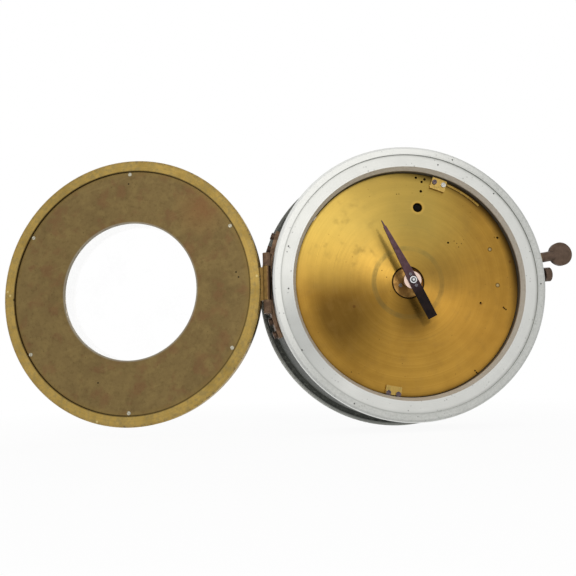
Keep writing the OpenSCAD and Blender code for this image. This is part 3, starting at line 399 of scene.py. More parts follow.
class CLOCK_OT_case(bpy.types.Operator):
    """Finish the case"""

    bl_idname = "clock.case"
    bl_label = "Case"

    # In millimetres: radii from the middle, and depths from the back, below zero towards the front
    face_depth = -66
    rounding_depth = -67
    rounding_radius = 113
    side_radius = 114
    bore_depth = -54
    bore_radius = 100.1
    shade_depth = -64
    flange_depth = -5
    flange_radius = 122
    # Marks in the front ring, across and up from the middle, and its dull patch: the place of its middle,
    # how far out it starts and where it is full
    marks_at = [(29.3, 101), (77.2, 75.1), (112.4, -4.7), (-94.2, -55.6), (-102.7, 30.9), (-103.7, -4.7),
                (42, 105), (-53, -100)]
    dull_patch = ((-99, -46), 58, 14)

    def execute(self, context):
        settings = context.scene.ship_clock.case

        # Sand-cast aluminium, turned on its front and bored, weathered grey on its side: satin white rings
        # with small casting pits in front, dull and mottled where it was never machined
        def make(tree):
            place = clock_place(tree)
            flat = across(tree, place)
            radius = reach(tree, flat)
            depth = axis_of(tree, place, "Y")
            front = product(tree, faces(tree, FORWARD),
                            fade(tree, depth, self.face_depth + 6, self.face_depth))
            elsewhere = outside(tree, front)
            # The rounded rim is turned with the face, and stays bright; the drum's side is as it was cast
            at_rounding = fade(tree, depth, self.rounding_depth + 0.4, self.rounding_depth - 0.4)
            rounded = product(tree, fade(tree, radius, self.rounding_radius, self.rounding_radius + 1.5),
                              elsewhere, at_rounding)
            side = product(tree, fade(tree, radius, self.side_radius, self.side_radius + 2), elsewhere,
                           fade(tree, depth, self.rounding_depth - 0.4, self.rounding_depth + 0.4))
            bore = product(tree, fade(tree, radius, self.bore_radius + 0.5, self.bore_radius),
                           fade(tree, depth, self.bore_depth + 4, self.bore_depth), elsewhere)
            # Painted light on the bore: painted shade darkens it where it meets the plate, and a painted
            # highlight brightens its lower right
            deep_shade = fade(tree, depth, self.shade_depth, self.shade_depth + 1.2)
            lower_right_highlight = fade(tree, toward(tree, flat, (0.94, 0, -0.34)), -60, 30)
            rings = turned(tree, radius, 0.7)
            clouds = blotches(tree, place, 22, 0.35, 0.65)
            fine = blotches(tree, place, 2.6, 0.42, 0.66)
            grit = blotches(tree, place, 0.9, 0.35, 0.7, 2)
            holes = product(tree, pits(tree, place, 3.4, 0.2), blotches(tree, place, 9, 0.5, 0.62))
            step = settings.step_radius
            outer = fade(tree, radius, step - 0.2, step + 0.2)
            line = band(tree, radius, step - 0.6, step + 0.3, 0.4)
            # The step's shade is painted: a sharp dark line at the left, and a broad soft grey band towards
            # the right
            at_left = fade(tree, axis_of(tree, flat, "X"), 30, -30)
            step_shade_right = product(tree, band(tree, radius, step - 1.4, step + 1.0, 0.8),
                             fade(tree, axis_of(tree, flat, "X"), -30, 40))
            # A painted highlight brightens the outer band at the upper left
            upper_left_highlight = fade(tree, toward(tree, flat, (-0.7, 0, 0.7)), 0, 70)
            marks = spots(tree, flat, self.marks_at, 0.8)
            rim = layers(tree, list(settings.rim), (rings, 0.35, "#BBBDBA"), (clouds, 0.35, "#BDBFBC"),
                         (near(tree, flat, *self.dull_patch), 0.55, "#8A8D8C"),
                         (outer, 0.6, "#AFB1AD"), (product(tree, outer, fine), 0.5, "#9FA29E"),
                         (product(tree, outer, grit), 0.3, "#D4D5D3"),
                         (product(tree, outer, upper_left_highlight), 0.75, "#E2E3E0"),
                         (product(tree, line, at_left), 0.5, "#7C7F7B"),
                         (step_shade_right, 0.4, "#A3A5A2"), (holes, 0.75, "#6F716D"), (marks, 1, "#4C4C48"))
            streaks = blotches(tree, place, 7, 0.4, 0.62, 5, (1, 0.35, 1))
            # The back flange's outer edge is greyer than the drum, and a painted highlight brightens it
            # underneath
            lip = product(tree, fade(tree, radius, self.flange_radius - 0.6, self.flange_radius + 0.6),
                          fade(tree, depth, self.flange_depth - 3.5, self.flange_depth))
            underside_highlight = fade(tree, axis_of(tree, flat, "Z"), -15, -70)
            drum = layers(tree, list(settings.drum), (streaks, 0.7, "#32352F"), (fine, 0.6, "#575A53"),
                          (blotches(tree, place, 3.5, 0.56, 0.64), 0.5, "#72756D"),
                          (lip, 0.8, "#6E6F6A"), (product(tree, lip, underside_highlight), 1, "#C4C6C0"))
            # The wall's last two coats are painted light: a painted highlight at the lower right and
            # painted shade low down the bore
            wall = layers(tree, list(settings.bore), (turned(tree, depth, 0.8), 0.4, "#ADA79C"),
                          (clouds, 0.4, "#CFCAC1"), (fine, 0.3, "#A39D8C"), (lower_right_highlight, 0.15, "#DEDAD0"),
                          (deep_shade, 0.85, "#3A3122"))
            cast = layers(tree, "#94968F", (clouds, 0.6, "#7F827B"), (grit, 0.5, "#ABADA6"))
            colour = layers(tree, cast, (bore, 1, wall), (rounded, 1, "#DCDDDA"), (side, 1, drum),
                            (front, 1, rim))
            rough = layers(tree, grey(0.62), (front, 1, grey(0.5)), (bore, 1, grey(0.45)),
                           (product(tree, front, outer), 1, grey(0.55)))
            relief = layers(tree, grey(0.5),
                            (product(tree, elsewhere, fine), 0.6, "#FFFFFF"),
                            (product(tree, front, rings), 0.12, "#FFFFFF"),
                            (product(tree, front, outer, grit), 0.3, "#FFFFFF"),
                            (product(tree, front, holes), 1, "#000000"),
                            (product(tree, front, marks), 1, "#000000"))
            bare = layers(tree, grey(1), (side, 1, grey(0.25)), (bore, 1, grey(0.3)),
                          (front, 1, grey(0.55)))
            return {"Base Color": colour, "Roughness": rough, "Metallic": bare}, (relief, 0.25)

        dress(metal("turned_cast_aluminium", make), "case")
        return {"FINISHED"}


class CLOCK_OT_front_plate(bpy.types.Operator):
    """Finish the front plate"""

    bl_idname = "clock.front_plate"
    bl_label = "Front plate"

    # Radii in millimetres, and pairs of radii between which a mask goes from nothing to all
    plate_radius = 96.4
    aperture_radius = 13.9
    winding_hole_radius = 3.9
    washer_in = 27.6
    washer_out = 31.8
    arc_radius = 50
    edge_stain = (90, 96.5)
    oil_creep = (89, 95.5)
    grease_end = (96, 80)
    wiped_ring = (7.0, 4.6)
    # Patches: the place of the middle, how far out it starts and where it is full
    smudge_patch = ((-48.2, -18.1), 7, 2)
    grease_patch = ((-60, -28), 50, 14)
    hub_shade = ((2, -24), 26, 6)
    hub_side = ((30, 4), 24, 8)
    dulled_patch = ((-72, 36), 44, 10)
    browned_patch = ((66, -32), 72, 20)
    # Places on the plate in millimetres, across and up from its middle
    winding_hole_at = (12.08, 65.8)
    marks_at = [(-22.3, 10.7), (-18.6, 4.8), (-52.4, -74.6), (-5.9, 77.8), (-3.9, 77.9), (42.8, 35.6),
                (45, 33.4), (46.5, 30.3), (49.1, 33.2), (79.1, 38.6)]
    slots_at = [(53.6, -76.5), (54.8, -78), (55.6, -79), (82.6, -23.2), (83.4, -24.2), (84.7, -25.1)]
    rust_at = [(62.8, -19.5), (91.6, 16.6), (-47.7, -19.8)]

    def execute(self, context):
        settings = context.scene.ship_clock.plate

        # Cast brass, face-turned and lacquered long ago: fine rings that draw the light out into two bright
        # fans, with brown tarnish and a grey-green ring where a dial washer lay. The rings are about 0.2 mm
        # apart on the real one, and are drawn coarser so that they show
        def make(tree):
            place = clock_place(tree)
            flat = across(tree, place)
            radius = reach(tree, flat)
            front = faces(tree, FORWARD)
            rings = turned(tree, radius, settings.groove)
            broad = turned(tree, radius, 5.5, 0.35, 0.65)
            clouds = blotches(tree, place, 34, 0.42, 0.66)
            specks = product(tree, pits(tree, place, 4.2, 0.13), blotches(tree, place, 16, 0.52, 0.6))
            smears = blotches(tree, place, 12, 0.5, 0.72, 5)
            washer = product(tree, band(tree, radius, self.washer_in, self.washer_out, 0.5),
                             blotches(tree, place, 14, 0.25, 0.6))
            arc = product(tree, band(tree, radius, self.arc_radius - 0.4, self.arc_radius + 0.4, 0.4),
                          blotches(tree, place, 30, 0.45, 0.6))
            near_edge = product(tree, fade(tree, radius, *self.edge_stain),
                                blotches(tree, place, 8, 0.3, 0.65))
            marks = spots(tree, flat, self.marks_at, 0.6)
            slots = spots(tree, flat, self.slots_at, 0.9)
            rust = spots(tree, flat, self.rust_at, 1.6)
            smudge = product(tree, near(tree, flat, *self.smudge_patch), smears)
            # Painted shade on the plate: a painted shadow of the bore's wall at the upper right, and
            # painted shade where the plate meets the bore and in the rim of the middle hole
            upper_right = fade(tree, toward(tree, flat, (0.8, 0, 0.6)), 40, 78)
            at_bore = fade(tree, radius, self.plate_radius - 1.6, self.plate_radius)
            painted_edge_shade = either(tree, product(tree, fade(tree, radius, *self.oil_creep), upper_right),
                           product(tree, at_bore, 0.6),
                           fade(tree, radius, self.aperture_radius + 0.5, self.aperture_radius - 0.1))
            inside_rim = fade(tree, radius, self.aperture_radius + 0.6, self.aperture_radius)
            # Painted reflection: dark fans at the lower left and below the hub stand in for dark
            # surroundings reflected in the turned rings
            dark_fan = product(tree, near(tree, flat, *self.grease_patch),
                             fade(tree, radius, *self.grease_end))
            below_hub_fan = product(tree, near(tree, flat, *self.hub_shade), 0.8)
            # The plate is paler in a ring round the winding hole, and painted shade makes the hole itself
            # black
            from_hole = reach(tree, flat, self.winding_hole_at)
            pale_ring = product(tree, fade(tree, from_hole, *self.wiped_ring), 0.6)
            hole = fade(tree, from_hole, self.winding_hole_radius + 0.08, self.winding_hole_radius)
            # Painted light: a painted highlight makes the top paler, and painted shade darkens the lower
            # right, the upper left and the right of the hub
            top_highlight = product(tree, fade(tree, axis_of(tree, flat, "Z"), -10, 50),
                            fade(tree, axis_of(tree, flat, "X"), 70, 20))
            lower_right_shade = near(tree, flat, *self.browned_patch)
            upper_left_shade = product(tree, near(tree, flat, *self.dulled_patch), 0.4)
            hub_right_shade = product(tree, near(tree, flat, *self.hub_side), 0.4)
            ringed = spots(tree, flat, BRACKET_PINS, 2.4)
            face = layers(tree, list(settings.brass), (rings, 0.4, "#B58E42"), (broad, 0.3, "#8D6A2A"),
                          (clouds, 0.4, list(settings.tarnish)),
                          (either(tree, dark_fan, below_hub_fan), 0.78, "#4E3715"), (smears, 0.25, "#8A6C38"),
                          (washer, 0.42, "#5F5838"), (arc, 0.3, "#7D6636"), (near_edge, 0.3, "#7A5C28"),
                          (smudge, 0.4, "#6E5228"), (top_highlight, 0.42, "#B0A258"), (upper_left_shade, 1, "#7D6A30"),
                          (lower_right_shade, 0.45, "#6E4F1E"), (hub_right_shade, 1, "#6A5228"), (ringed, 0.75, "#3E2C12"),
                          (pale_ring, 1, "#C4A050"), (painted_edge_shade, 0.85, "#33230E"), (hole, 1, "#0A0704"),
                          (inside_rim, 0.95, "#171008"), (specks, 0.7, "#5F461F"), (rust, 0.55, "#4E2E16"),
                          (marks, 0.85, "#3E2C14"), (slots, 1, "#241808"))
            side = layers(tree, "#A9843C", (clouds, 1, "#8B6A2B"))
            colour = layers(tree, side, (front, 1, face), (hole, 1, "#120D07"))
            rough = vary(tree, either(tree, product(tree, rings, 0.6), washer, smears), 0.37, 0.5)
            relief = layers(tree, grey(0.5), (rings, 0.5, "#FFFFFF"), (marks, 1, "#000000"),
                            (specks, 1, "#000000"))
            return {"Base Color": colour, "Roughness": rough, "Anisotropic": 0.8,
                    "Tangent": turned_grain(tree, flat)}, (relief, 0.012)

        dress(metal("turned_brass", make), "front_plate")
        return {"FINISHED"}


class CLOCK_OT_movement(bpy.types.Operator):
    """Finish the frame and the wheels of the movement"""

    bl_idname = "clock.movement"
    bl_label = "Movement"

    def execute(self, context):
        # Rolled brass, straight-grained with a file and kept from the air inside the case: clean yellow,
        # with faint grain and soft clouds of tarnish
        def make_brass(tree):
            place = clock_place(tree)
            grain = blotches(tree, place, 1.2, 0.35, 0.7, 2, (1, 1, 0.08))
            clouds = blotches(tree, place, 11, 0.42, 0.66)
            colour = layers(tree, "#BE9A47", (grain, 0.35, "#A8823A"), (clouds, 0.5, "#977339"),
                            (worn_edges(tree, 0.25), 0.6, "#E0C173"))
            rough = vary(tree, either(tree, grain, clouds), 0.3, 0.45)
            return {"Base Color": colour, "Roughness": rough}, (grain, 0.01)

        # Bar steel, turned and burnished: bright grey with fine rub marks and a few brown specks of rust
        def make_steel(tree):
            place = clock_place(tree)
            rub = blotches(tree, place, 0.8, 0.4, 0.65, 2, (1, 0.2, 1))
            specks = product(tree, pits(tree, place, 1.6, 0.2), blotches(tree, place, 5, 0.5, 0.6))
            colour = layers(tree, "#A3A5A7", (rub, 0.5, "#85888B"), (specks, 0.6, "#6E5A45"),
                            (worn_edges(tree, 0.2), 0.5, "#D6D8D9"))
            return {"Base Color": colour, "Roughness": vary(tree, rub, 0.22, 0.4)}, (rub, 0.006)

        # Pin and screw of steel whose lacquer has yellowed, each in a ring of dirt
        def make_pins(tree):
            place = clock_place(tree)
            flat = across(tree, place)
            pin, screw = (reach(tree, flat, centre) for centre in BRACKET_PINS)
            nearer = put(tree, "ShaderNodeMath", {0: pin, 1: screw}, operation="MINIMUM")
            rim = fade(tree, nearer, 1.0, 1.35)
            rub = blotches(tree, place, 0.9, 0.4, 0.65, 2)
            colour = layers(tree, "#A8946A", (rub, 0.5, "#7E6B45"), (rim, 0.9, "#2E2414"))
            return {"Base Color": colour, "Roughness": vary(tree, rub, 0.28, 0.45)}, (rub, 0.01)

        # Centre pivot: a burnished dome in a black ring of painted shade where its recess lies
        def make_pivot(tree):
            place = clock_place(tree)
            radius = reach(tree, across(tree, place))
            ring = band(tree, radius, 1.05, 2.2, 0.15)
            rub = blotches(tree, place, 0.8, 0.4, 0.65, 2)
            colour = layers(tree, "#C2C3C4", (rub, 0.4, "#94979A"), (ring, 0.92, "#1C1916"))
            rough = vary(tree, either(tree, ring, rub), 0.2, 0.45)
            return {"Base Color": colour, "Roughness": rough}, (rub, 0.004)

        # Spring steel strip, hardened and blued: dark blue-grey that turns brown where it rubs
        blued = clouded("blued_spring_steel", "#4B5568", cloud=(6, 0.4, 0.62), stain=(0.6, "#5F5650"),
                        edge=(0.15, 0.6, "#8E939A"), rough=(0.25, 0.42), depth=0.005)
        # Brass bridge, stained dark by old oil: brown, with brighter rubbed edges
        stained = clouded("oil_stained_brass", "#A8824A", cloud=(4, 0.35, 0.6), stain=(0.7, "#7A5A30"),
                          edge=(0.3, 0.5, "#B08E4C"), rough=(0.32, 0.5), depth=0.01)
        # Winding arbor, painted near black as painted shade deep in its hole
        shade_black_arbor = clouded("oil_black_steel", "#14110E", cloud=(2, 0.35, 0.65), stain=(0.6, "#0A0806"),
                        edge=(0.15, 0.2, "#3A352E"), rough=(0.5, 0.7), depth=0.01,
                        sockets={"Metallic": 0.2, "Specular IOR Level": 0.05})
        brass = metal("straight_grained_brass", make_brass)
        steel = metal("burnished_steel", make_steel)
        dress(brass, "back_plate", "pillars", "control_bracket", "barrel_drum", "barrel_cover",
              "centre_wheel", "inter_wheel", "third_wheel", "glass_spacer", "hairspring_stud",
              "balance_wheel")
        dress(steel, "ratchet_wheel", "inter_arbor", "third_arbor", "escape_arbor", "escape_wheel",
              "pallet_lever", "balance_staff", "click", "stop_lever", "button_spring", "bridge_screws")
        dress(shade_black_arbor, "barrel_arbor")
        dress(metal("burnished_pivot_steel", make_pivot), "centre_arbor")
        dress(blued, "mainspring", "hairspring", "click_spring", "click_screw", "pillar_screws",
              "stop_lever_screw")
        dress(stained, "centre_bridge")
        dress(metal("dirt_ringed_steel", make_pins), "bracket_screws")
        return {"FINISHED"}


class CLOCK_OT_clamps(bpy.types.Operator):
    """Finish the clamps, their screws and the strip spring"""

    bl_idname = "clock.clamps"
    bl_label = "Clamps"

    def execute(self, context):
        # Milled brass blocks, handled bare: pale yellow with spots of greenish dirt and bright edges
        def make_block(tree):
            place = clock_place(tree)
            mill = blotches(tree, place, 1.0, 0.4, 0.65, 2, (1, 1, 0.2))
            dirt = blotches(tree, place, 3, 0.5, 0.66)
            colour = layers(tree, "#A78B4C", (mill, 0.4, "#93783E"), (dirt, 0.5, "#786C3E"),
                            (worn_edges(tree, 0.3), 0.6, "#CDB97C"))
            return {"Base Color": colour, "Roughness": vary(tree, dirt, 0.32, 0.5)}, (mill, 0.015)

        # Steel screws, blued by heat: dark purple-grey with a brown bloom and brighter edges
        def make_blued(tree):
            place = clock_place(tree)
            heat = blotches(tree, place, 1.5, 0.4, 0.6, 2)
            # One head at the top clamp has lost its blue
            bright = product(tree, fade(tree, axis_of(tree, place, "X"), 31, 32),
                             fade(tree, axis_of(tree, place, "Z"), 0, 1))
            colour = layers(tree, "#4A434C", (heat, 0.6, "#6A5853"), (bright, 1, "#B0AFA9"),
                            (worn_edges(tree, 0.15), 0.4, "#8E8A8C"))
            return {"Base Color": colour, "Roughness": vary(tree, heat, 0.2, 0.38)}, (heat, 0.005)

        # Rolled brass strip: duller yellow with a brown bloom
        strip = clouded("rolled_brass_strip", "#8F7336", cloud=(4, 0.4, 0.62), stain=(0.6, "#6A5024"),
                        edge=(0.25, 0.8, "#CDB87A"), rough=(0.3, 0.45), depth=0.008)
        dress(metal("milled_pale_brass", make_block), "top_clamp", "bottom_clamp")
        dress(metal("blued_screw_steel", make_blued), "clamp_screws")
        dress(strip, "edge_spring")
        return {"FINISHED"}


class CLOCK_OT_hinge(bpy.types.Operator):
    """Finish the hinge"""

    bl_idname = "clock.hinge"
    bl_label = "Hinge"

    # Where painted shade turns the middle knuckle brown, and where a painted shadow turns the gap beside it
    # black, in millimetres across
    brown_from = -122.4
    brown_to = -120.6
    gap_from = -119.9
    gap_to = -119.2

    def execute(self, context):
        # Cast bronze, filed and left bare at sea: brown with darker stains, bright along rubbed edges
        def make_bronze(tree):
            place = clock_place(tree)
            stain = blotches(tree, place, 5, 0.38, 0.62)
            file = blotches(tree, place, 1.1, 0.4, 0.65, 2, (0.3, 1, 1))
            colour = layers(tree, "#6B5340", (stain, 0.7, "#473427"), (file, 0.3, "#7F6950"),
                            (worn_edges(tree, 0.5), 0.6, "#A08868"))
            return {"Base Color": colour, "Roughness": vary(tree, stain, 0.45, 0.62), "Metallic": 0.45,
                    "Specular IOR Level": 0.25}, (file, 0.03)

        # Yellow brass knuckle of the door; painted shade makes its side towards the case brown, and a
        # painted shadow makes the gap beside it black
        def make_knuckle(tree):
            place = clock_place(tree)
            stain = blotches(tree, place, 5, 0.4, 0.62)
            x = axis_of(tree, place, "X")
            shaded_side = fade(tree, x, self.brown_from, self.brown_to)
            colour = layers(tree, "#84693A", (stain, 0.5, "#63492A"), (shaded_side, 0.9, "#453429"),
                            (worn_edges(tree, 0.4), 0.6, "#AB9260"),
                            (fade(tree, x, self.gap_from, self.gap_to), 1, "#0F0B08"))
            return {"Base Color": colour, "Roughness": vary(tree, stain, 0.34, 0.52)}, (stain, 0.02)

        # Steel screws darkened by salt air
        rusty = clouded("weathered_screw_steel", "#523F31", cloud=(1.6, 0.42, 0.62, 3),
                        stain=(0.7, "#33251C"), edge=(0.3, 0.6, "#857058"), rough=(0.42, 0.62), depth=0.03,
                        sockets={"Metallic": 0.5, "Specular IOR Level": 0.3})
        dress(metal("filed_bronze", make_bronze), "case_leaf", "hinge_pin")
        dress(metal("rubbed_yellow_brass", make_knuckle), "door_leaf")
        dress(rusty, "leaf_screws", "door_leaf_screws")
        return {"FINISHED"}


class CLOCK_OT_bezel(bpy.types.Operator):
    """Finish the door's ring"""

    bl_idname = "clock.bezel"
    bl_label = "Bezel"

    # Radii in millimetres, the pair between which the nicks come in, and places across and up from the
    # middle of the shut door
    seat_radius = 106.2
    edge_radius = 115.2
    nicked = (112.5, 114.8)
    marks_at = [(106, -3.1), (103.9, -9.4), (103.7, -15.6), (99.5, -29)]
    rubs_at = [(112.4, 4.3), (109.9, 0.7), (-112, 7.3), (27.6, -110)]

    def execute(self, context):
        settings = context.scene.ship_clock.door

        # Cast brass ring, turned all over and worn by the sea: yellow-brown with turning rings, grey nicks
        # on its outer edge and black marks where it lay against the case
        def make(tree):
            place = clock_place(tree, True)
            flat = across(tree, place)
            radius = reach(tree, flat)
            back = faces(tree, BACKWARD, True)
            rings = turned(tree, radius, 0.8)
            clouds = blotches(tree, place, 16, 0.4, 0.62)
            fine = blotches(tree, place, 3, 0.45, 0.66)
            nicks = product(tree, blotches(tree, place, 1.8, 0.56, 0.64, 3),
                            fade(tree, radius, *self.nicked))
            marks = spots(tree, flat, self.marks_at, 1.5)
            rubs = spots(tree, flat, self.rubs_at, 1.2)
            at_seat = fade(tree, radius, self.seat_radius + 0.8, self.seat_radius)
            at_edge = product(tree, back, fade(tree, radius, self.edge_radius - 1.6, self.edge_radius))
            colour = layers(tree, list(settings.bezel), (rings, 0.4, "#C0A25B"), (clouds, 0.5, "#86703A"),
                            (fine, 0.4, "#9A8550"), (product(tree, back, fine), 0.35, "#7B7150"),
                            (worn_edges(tree, 0.6), 0.6, "#9C8F6C"), (nicks, 0.8, "#595143"),
                            (rubs, 0.8, "#C9B67C"), (marks, 0.85, "#2B251C"), (at_seat, 0.75, "#40321A"),
                            (at_edge, 0.6, "#5C4A2C"))
            relief = layers(tree, grey(0.5), (rings, 0.3, "#FFFFFF"), (nicks, 1, "#000000"))
            return {"Base Color": colour, "Roughness": vary(tree, either(tree, clouds, fine), 0.34, 0.52),
                    "Anisotropic": 0.5, "Tangent": turned_grain(tree, flat, True)}, (relief, 0.06)

        dress(metal("sea_worn_turned_brass", make), "bezel_ring")
        return {"FINISHED"}


class CLOCK_OT_dial(bpy.types.Operator):
    """Finish the dial and print its numerals and minute track"""

    bl_idname = "clock.dial"
    bl_label = "Dial"

    # In millimetres: radii from the dial's middle, marks across and up from it, and a warmer patch: the
    # place of its middle, how far out it starts and where it is full
    hole_radius = 60.2
    edge_radius = 105.6
    pale_edge = (101, 105.5)
    warm_patch = ((-63.4, 67.2), 26, 6)
    marks_at = [(-96.2, 7.3), (-94.1, 11.6), (27.6, -77.6), (1.2, 95)]
    # The print: heights above the clock's back, radii, widths, and the steps of a whole circle
    face_height = 74.0
    print_height = 74.03
    numeral_radius = 73.5
    track_in = 85.0
    track_out = 91.0
    line_width = 0.35
    mark_width = 0.4
    long_mark_width = 0.9
    long_mark_over = 2.0
    circle_steps = 180

    def execute(self, context):
        settings = context.scene.ship_clock.door

        # Rolled brass sheet: its back is bare, patinated olive brown, cloudy and stained, and its front
        # is silvered
        def make(tree):
            place = clock_place(tree, True)
            flat = across(tree, place)
            radius = reach(tree, flat)
            front = faces(tree, FORWARD, True)
            wide = blotches(tree, place, 30, 0.42, 0.6, 5)
            mid = blotches(tree, place, 12, 0.47, 0.62, 5)
            small = blotches(tree, place, 3.2, 0.48, 0.7, 4)
            sweep = turned(tree, radius, 2.2, 0.35, 0.7)
            red = product(tree, blotches(tree, place, 15, 0.52, 0.64, 5), 0.45)
            warm = near(tree, flat, *self.warm_patch)
            specks = product(tree, pits(tree, place, 3.6, 0.14), blotches(tree, place, 12, 0.5, 0.62))
            marks = spots(tree, flat, self.marks_at, 0.9)
            lines = either(tree, scratches(tree, place, 50, 0.3), scratches(tree, place, 38, 1.2))
            rim = fade(tree, radius, self.hole_radius + 1, self.hole_radius)
            edge = fade(tree, radius, *self.pale_edge)
            seat = fade(tree, radius, self.edge_radius - 0.7, self.edge_radius)
            back = layers(tree, list(settings.sheet), (wide, 0.6, "#6A5839"), (mid, 0.5, "#87744A"),
                          (small, 0.35, "#5C4C31"), (sweep, 0.06, "#8C7A4C"), (red, 1, "#75543A"),
                          (warm, 0.4, "#7E5838"), (lines, 0.12, "#9C8858"), (edge, 0.4, "#86703F"),
                          (seat, 0.7, "#3F3219"), (rim, 0.55, "#9A968A"),
                          (specks, 0.7, "#3F3622"), (marks, 1, "#2C261C"))
            silver = layers(tree, "#D9D7CE", (blotches(tree, place, 9, 0.4, 0.7), 0.35, "#C6C2B4"),
                            (blotches(tree, place, 2.5, 0.55, 0.7), 0.25, "#B4AE9C"))
            colour = layers(tree, back, (front, 1, silver))
            relief = layers(tree, grey(0.5), (small, 0.3, "#FFFFFF"), (specks, 1, "#000000"))
            rough = vary(tree, either(tree, mid, small, front), 0.38, 0.56)
            return {"Base Color": colour, "Roughness": rough}, (relief, 0.02)

        # Nickel silver screws, bright on their heads
        bright = clouded("nickel_silver", "#BDB9A8", cloud=(1.0, 0.4, 0.65, 2), stain=(0.5, "#8D8875"),
                         rough=(0.2, 0.4), depth=0.006, on_door=True)
        # Black printing ink on the silvered dial: thin, with a low sheen, and greyer where it has worn
        ink = clouded("printed_ink", "#1B1A1A", cloud=(1.5, 0.55, 0.75, 3), stain=(0.5, "#4A4844"),
                      rough=(0.45, 0.65), depth=0.004, on_door=True, sockets={"Metallic": 0.0})
        dress(metal("patinated_brass_sheet", make), "dial_plate")
        dress(bright, "dial_screws")
        self.print_dial(ink, settings.numeral_height)
        return {"FINISHED"}

    def print_dial(self, ink, size):
        """Numerals from 5 to 60 and a minute track, on the front of the dial."""
        upright = Matrix.Rotation(math.radians(90), 4, "X")
        sheet = bmesh.new()
        for minute in range(5, 65, 5):
            angle = math.radians(90 - minute * 6)
            text = bpy.data.curves.new("numeral", "FONT")
            text.body = str(minute)
            text.size = size
            text.align_x = "CENTER"
            text.align_y = "CENTER"
            text.extrude = (self.print_height - self.face_height) / 2 / MM
            carrier = add("numeral", text)
            drawn = carrier.evaluated_get(bpy.context.evaluated_depsgraph_get())
            shaped = bpy.data.meshes.new_from_object(drawn)
            height = (self.print_height + self.face_height) / 2 / MM
            shaped.transform(Matrix.Translation((self.numeral_radius / MM * math.cos(angle), -height,
                                                 self.numeral_radius / MM * math.sin(angle))) @ upright)
            sheet.from_mesh(shaped)
            bpy.data.objects.remove(carrier)
            bpy.data.curves.remove(text)
            bpy.data.meshes.remove(shaped)
        for minute in range(60):
            long_mark = minute % 5 == 0
            start = self.track_in - (self.long_mark_over if long_mark else 0)
            width = self.long_mark_width if long_mark else self.mark_width
            self.bar(sheet, math.radians(minute * 6), start, self.track_out, width)
        for radius in (self.track_in, self.track_out):
            self.ring(sheet, radius, self.line_width)
        mesh = mesh_of("dial_print", sheet)
        mesh.transform(OPEN)
        mesh.materials.append(ink)
        piece = add("dial_print", mesh)
        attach(piece, "door")

    def point(self, radius, angle, height, shift=0.0):
        """A point on the dial, in metres; shift moves it across the radius."""
        x = radius * math.cos(angle) - shift * math.sin(angle)
        z = radius * math.sin(angle) + shift * math.cos(angle)
        return (x / MM, -height / MM, z / MM)

    def bar(self, sheet, angle, inner, outer, width):
        """A radial bar of the minute track."""
        corners = [(inner, -width / 2), (outer, -width / 2), (outer, width / 2), (inner, width / 2)]
        low = [sheet.verts.new(self.point(r, angle, self.face_height, s)) for r, s in corners]
        high = [sheet.verts.new(self.point(r, angle, self.print_height, s)) for r, s in corners]
        self.close(sheet, low, high)

    def ring(self, sheet, radius, width):
        """A circle of the minute track."""
        steps = self.circle_steps
        inner = radius - width / 2
        outer = radius + width / 2
        low, high = self.face_height, self.print_height
        for k in range(steps):
            a = 2 * math.pi * k / steps
            b = 2 * math.pi * (k + 1) / steps
            for height, turn in ((low, 1), (high, -1)):
                corners = ((inner, a), (outer, a), (outer, b), (inner, b))
                verts = [sheet.verts.new(self.point(r, t, height)) for r, t in corners]
                sheet.faces.new(verts[::turn])
            for r, turn in ((inner, 1), (outer, -1)):
                corners = ((a, low), (a, high), (b, high), (b, low))
                verts = [sheet.verts.new(self.point(r, t, h)) for t, h in corners]
                sheet.faces.new(verts[::turn])
        bmesh.ops.remove_doubles(sheet, verts=sheet.verts[:], dist=1e-7)
        bmesh.ops.recalc_face_normals(sheet, faces=sheet.faces[:])

    def close(self, sheet, low, high):
        """Faces of a prism between two outlines."""
        count = len(low)
        sheet.faces.new(low)
        sheet.faces.new(high[::-1])
        for k in range(count):
            n = (k + 1) % count
            sheet.faces.new((low[n], low[k], high[k], high[n]))


class CLOCK_OT_glass(bpy.types.Operator):
    """Finish the glass"""

    bl_idname = "clock.glass"
    bl_label = "Glass"

    def execute(self, context):
        # Float glass, ground at its edge: clear and colourless, with a faint film of dust
        mat = bpy.data.materials.new("clear_float_glass")
        tree = blank(mat)
        place = clock_place(tree, True)
        dust = product(tree, blotches(tree, place, 30, 0.5, 0.8), 0.1)
        clear = put(tree, "ShaderNodeBsdfPrincipled", {
            "Base Color": "#FFFFFF", "Roughness": 0.02, "IOR": 1.46, "Transmission Weight": 1.0,
            "Metallic": 0.0})
        film = put(tree, "ShaderNodeBsdfPrincipled", {
            "Base Color": layers(tree, "#E9ECEA", (dust, 1, "#C9CCC6")), "Roughness": 0.6,
            "Transmission Weight": 0.6})
        shine = put(tree, "ShaderNodeMixShader", {0: product(tree, dust, 0.25), 1: clear, 2: film})
        # Light passes the thin pane unbent, so that what lies behind it is lit
        shadow = put(tree, "ShaderNodeLightPath").node.outputs["Is Shadow Ray"]
        through = put(tree, "ShaderNodeBsdfTransparent", {"Color": "#F4F6F5"})
        shine = put(tree, "ShaderNodeMixShader", {0: shadow, 1: shine, 2: through})
        put(tree, "ShaderNodeOutputMaterial", {"Surface": shine})
        dress(mat, "glass")
        return {"FINISHED"}


